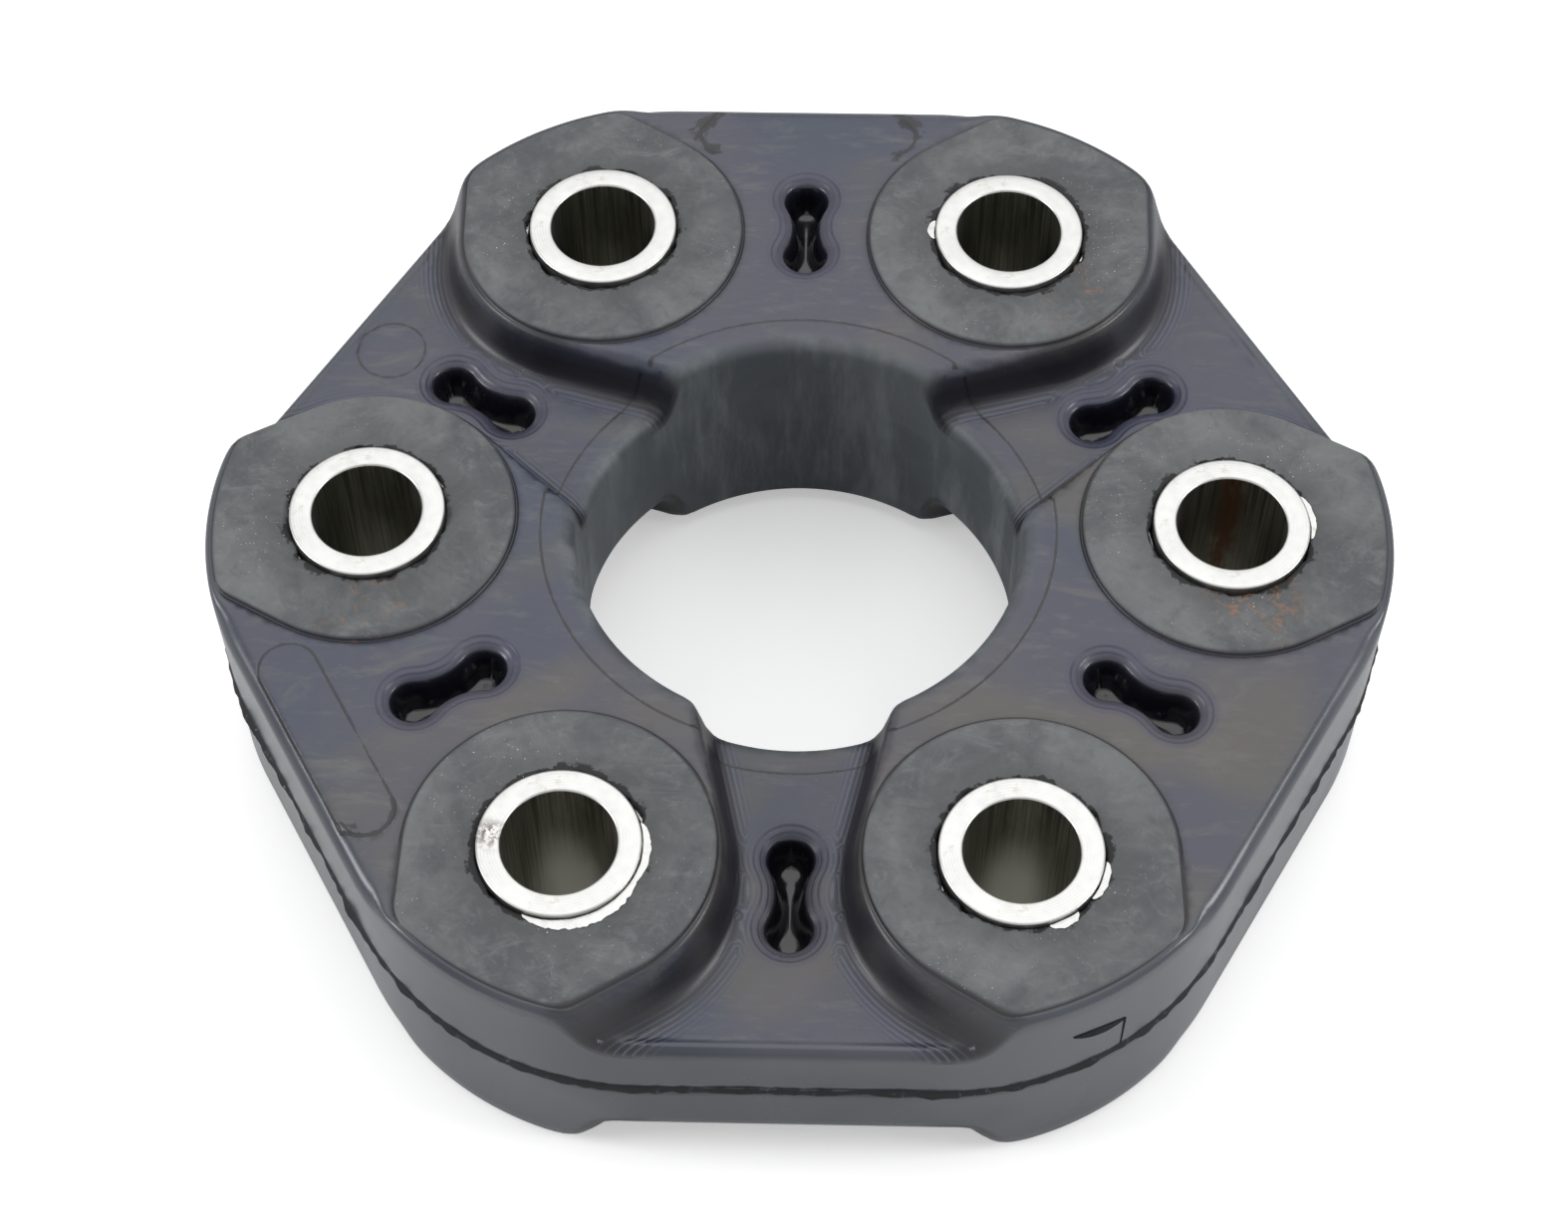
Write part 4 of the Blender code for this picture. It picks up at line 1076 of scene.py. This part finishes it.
def make_sleeve(number, angle, skins):
    """A turned sleeve about its own axis, its ends faintly marked, moved to its place."""
    upper = [(r, SLEEVE_TOP + z) for r, z in SLEEVE_MOUTH + SLEEVE_SECTION]
    outer = np.linspace(upper[-1][1], -upper[-1][1], OUTER_ROWS + 2)[1:-1]
    inner = np.linspace(-upper[0][1], upper[0][1], BORE_ROWS + 2)[1:-1]
    section = (upper + [(SLEEVE_RADIUS, z) for z in outer] + [(r, -z) for r, z in reversed(upper)]
               + [(SLEEVE_BORE_RADIUS, z) for z in inner])
    a = np.linspace(0, 2 * math.pi, SLEEVE_SIDES, endpoint=False)
    rows = []
    for r, z in section:
        ring = ring_points(r, a, z)
        if abs(z) > SLEEVE_TOP - 0.1:
            ring[:, 2] += math.copysign(0.02, z) * value_noise(ring, 1.7, 60 + number)
        rows.append(ring)
    count, faces = len(section), []
    for i in range(count):
        here, above = i * SLEEVE_SIDES, (i + 1) % count * SLEEVE_SIDES
        for j in range(SLEEVE_SIDES):
            k = (j + 1) % SLEEVE_SIDES
            faces.append((here + j, above + j, above + k, here + k))
    mesh = bpy.data.meshes.new(f"turned_sleeve_{number}")
    mesh.from_pydata((np.concatenate(rows) * MM).tolist(), [], faces)
    for skin in skins:
        mesh.materials.append(skin)
    first_in_bore = count - BORE_ROWS - 2
    for index, polygon in enumerate(mesh.polygons):
        row = index // SLEEVE_SIDES
        polygon.material_index = 1 if row >= first_in_bore or row < 1 else 0
    mesh.shade_smooth()
    mesh.set_sharp_from_angle(angle=SHARP_FROM)
    obj = add_object(f"turned_sleeve_{number}", mesh)
    obj.location = (PITCH_RADIUS * MM * math.cos(angle), PITCH_RADIUS * MM * math.sin(angle), 0.0)
    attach(obj, "root")
    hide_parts(f"sleeve_{number}")


# Scraps: collar steel that shows through torn rubber, and rubber torn off the wall

# Sleeve, start and end angle in degrees, and width
SLIVERS = ((5, -112, -22, 1.15), (5, -30, 18, 0.75), (6, -72, -50, 0.9), (6, -36, -6, 0.75),
           (1, -10, 28, 0.6), (2, 168, 186, 0.7))
SLIVER_POINTS = 90
SLIVER_RISE, SLIVER_SINK = 0.10, 0.6
FLAKE_POINTS = 24
FLAKE_SINK, FLAKE_RISE = -0.3, 0.10
# The flake's first angle and sweep in degrees, and the heights of the flake and the thread
FLAKE_START, FLAKE_SWEEP = 296.5, 5.5
FLAKE_TOP, FLAKE_DROP = 8.3, 1.25
THREAD_TOP, THREAD_DROP = 7.0, 6.2


def add_scrap(name, points, faces, skin):
    """A small closed piece from points in millimetres, its faces turned outward."""
    mesh = bpy.data.meshes.new(name)
    mesh.from_pydata((np.array(points) * MM).tolist(), [], faces)
    mesh.materials.append(skin)
    bm = bmesh.new()
    bm.from_mesh(mesh)
    bmesh.ops.recalc_face_normals(bm, faces=bm.faces)
    bm.to_mesh(mesh)
    bm.free()
    return add_object(name, mesh)


def make_sliver(number, sleeve, start, end, width, skin):
    """A thin ragged crescent beside a sleeve, lying in the torn rubber."""
    n = SLIVER_POINTS
    a = np.radians(np.linspace(start, end, n))
    ends = np.sqrt(np.clip(np.sin(np.linspace(0, math.pi, n)), 0, 1))
    ring = ring_points(10, a, 3.0 * number)
    ragged = 1 + 0.16 * value_noise(ring, 1.3, 70) + 0.14 * value_noise(ring, 0.35, 71)
    inner = SLEEVE_RADIUS + 0.13 + 0.05 * value_noise(ring, 1.1, 73)
    outer = inner + 0.04 + width * ends * ragged
    lines = []
    for height in (PAD_TOP - SLIVER_SINK, PAD_TOP + SLIVER_RISE):
        for radius in (inner, outer):
            tilt = 0.05 * value_noise(ring, 0.8, 72) if height > PAD_TOP else 0.0
            lines.append(ring_points(radius, a, height + tilt))
    faces = []
    for i in range(n - 1):
        j = i + 1
        faces += [(2 * n + i, 3 * n + i, 3 * n + j, 2 * n + j), (i, j, n + j, n + i),
                  (n + i, n + j, 3 * n + j, 3 * n + i), (j, i, 2 * n + i, 2 * n + j)]
    faces += [(0, n, 3 * n, 2 * n), (n - 1, 3 * n - 1, 4 * n - 1, 2 * n - 1)]
    angle = BOLT_ANGLES[sleeve - 1]
    place = PITCH_RADIUS * np.array((math.cos(angle), math.sin(angle), 0.0))
    obj = add_scrap(f"collar_sliver_{number}", np.concatenate(lines) + place, faces, skin)
    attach(obj, "root")


def wall_point(angle, z, out):
    """A point on the outer wall near the fifth or sixth bolt, moved outward. Angles are in degrees."""
    bolt = round(angle / 60) * 60
    turn = math.radians(angle - bolt)
    far = CORNER_OUT * math.cos(turn)
    far = far + math.sqrt(far * far - CORNER_OUT ** 2 + CORNER_RADIUS ** 2) + out
    return far * math.cos(math.radians(angle)), far * math.sin(math.radians(angle)), z


def make_flake(name, upper, lower, skin):
    """A thin torn scrap on the outer wall between two lines of (angle, height)."""
    n = FLAKE_POINTS
    points = [wall_point(a, z, out) for line in (upper, lower) for out in (FLAKE_SINK, FLAKE_RISE)
              for a, z in line]
    faces = []
    for i in range(n - 1):
        for first, second in ((0, 1), (1, 3), (3, 2), (2, 0)):
            faces.append((first * n + i, second * n + i, second * n + i + 1, first * n + i + 1))
    faces += [(0, 2 * n, 3 * n, n), (n - 1, 2 * n - 1, 4 * n - 1, 3 * n - 1)]
    obj = add_scrap(name, points, faces, skin)
    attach(obj, "root")


def make_flakes(skin):
    """The scrap below the right front pad: a curved flake, and a thread from its end to the flash."""
    t = np.linspace(0, 1, FLAKE_POINTS)
    swell = np.sin(math.pi * t) ** 0.8
    centre, angle = FLAKE_TOP - FLAKE_DROP * t, FLAKE_START + FLAKE_SWEEP * t
    make_flake("torn_flake", list(zip(angle, centre + 0.02 + 0.35 * swell)),
               list(zip(angle, centre - 0.02 - 1.15 * swell)), skin)
    z, end = THREAD_TOP - THREAD_DROP * t, FLAKE_START + FLAKE_SWEEP
    make_flake("torn_thread", list(zip(end - 0.10 + 0.08 * t, z)), list(zip(end + 0.06 - 0.04 * t, z)),
               skin)


# Stage

CAMERA_PLACE = (0.00479, -0.19590, 0.29783)
CAMERA_TURN = (33.0188, 0.3620, 1.3436)
CAMERA_LENS = 71.005
SENSOR_WIDTH = 36.0
FLOOR_HALF = 3.0
FLOOR_DROP = 0.00002
FLOOR_WHITE = (0.93, 0.93, 0.93)
# The floor's glow for the camera is low by the part, so that its shadow stays, and full far off.
GLOW_DIP, GLOW_REACH = 0.6, 1.8
WORLD_LEVEL = 0.35
# Name, place, size, and power in watts. Each looks at the disc.
LIGHTS = (("light_above", (0.05, 0.28, 0.85), 1.1, 4.7),
          ("light_left", (-0.75, -0.1, 0.45), 0.32, 2.8),
          ("light_right", (0.75, -0.1, 0.45), 0.28, 2.5))


def make_camera():
    camera = bpy.data.cameras.new("camera")
    camera.lens = CAMERA_LENS
    camera.sensor_width = SENSOR_WIDTH
    camera.clip_start = 0.01
    obj = add_object("camera", camera)
    obj.location = CAMERA_PLACE
    obj.rotation_euler = [math.radians(a) for a in CAMERA_TURN]
    bpy.context.scene.camera = obj


def make_floor():
    half, z = FLOOR_HALF, -SLEEVE_TOP * MM - FLOOR_DROP
    mesh = bpy.data.meshes.new("floor")
    corners = [(-half, -half, z), (half, -half, z), (half, half, z), (-half, half, z)]
    mesh.from_pydata(corners, [], [(0, 1, 2, 3)])
    floor = add_object("floor", mesh)
    f = Finish("floor_finish")
    rays = f.node("LightPath").outputs["Is Camera Ray"]
    glow = f.math("SUBTRACT", 1.0, f.times(f.near((0.0, 0.0, 0.0), GLOW_REACH), GLOW_DIP))
    f.set(Base_Color=FLOOR_WHITE, Roughness=0.9, Emission_Color=(1.0, 1.0, 1.0),
          Emission_Strength=f.times(rays, glow))
    mesh.materials.append(f.material)


def make_world():
    """White for the camera and in reflections, and a plain low level as light."""
    world = bpy.data.worlds.new("studio")
    world.use_nodes = True
    tree = world.node_tree
    back = tree.nodes["Background"].inputs
    rays = tree.nodes.new("ShaderNodeLightPath").outputs
    seen, share = (tree.nodes.new("ShaderNodeMath") for _ in range(2))
    seen.operation = share.operation = "MAXIMUM"
    tree.links.new(rays["Is Camera Ray"], seen.inputs[0])
    tree.links.new(rays["Is Glossy Ray"], seen.inputs[1])
    tree.links.new(seen.outputs[0], share.inputs[0])
    share.inputs[1].default_value = WORLD_LEVEL
    back["Color"].default_value = (1.0, 1.0, 1.0, 1.0)
    tree.links.new(share.outputs[0], back["Strength"])
    bpy.context.scene.world = world


def make_lights():
    for name, place, size, power in LIGHTS:
        light = bpy.data.lights.new(name, "AREA")
        light.size = size
        light.energy = power
        obj = add_object(name, light)
        obj.location = place
        obj.rotation_euler = (-Vector(place)).to_track_quat("-Z", "Y").to_euler()


def main():
    bpy.context.scene.view_settings.view_transform = "Standard"
    make_camera()
    make_floor()
    make_world()
    make_lights()
    rubber = make_rubber()
    rubber.data.materials.append(rubber_finish())
    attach(rubber, "root")
    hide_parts("rubber_body")

    end, spotted = end_finish("sleeve_face_finish"), end_finish("spotted_face_finish", True)
    dark, pale = bore_finish("sleeve_bore_finish", 0.15), bore_finish("pale_bore_finish", 1.0)
    rusty = bore_finish("rusty_bore_finish", 0.2, True)
    skins = {1: (end, rusty), 5: (spotted, pale), 6: (end, pale)}
    for number, angle in enumerate(BOLT_ANGLES, start=1):
        make_sleeve(number, angle, skins.get(number, (end, dark)))
    for number, sliver in enumerate(SLIVERS, start=1):
        make_sliver(number, *sliver, end)
    make_flakes(scrap_finish())

    cord, plate = cord_finish(), end_finish("collar_finish")
    for name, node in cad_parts.items():
        if name.startswith(("cord_loop", "collar")):
            node.data.materials.clear()
            node.data.materials.append(cord if name.startswith("cord") else plate)


main()
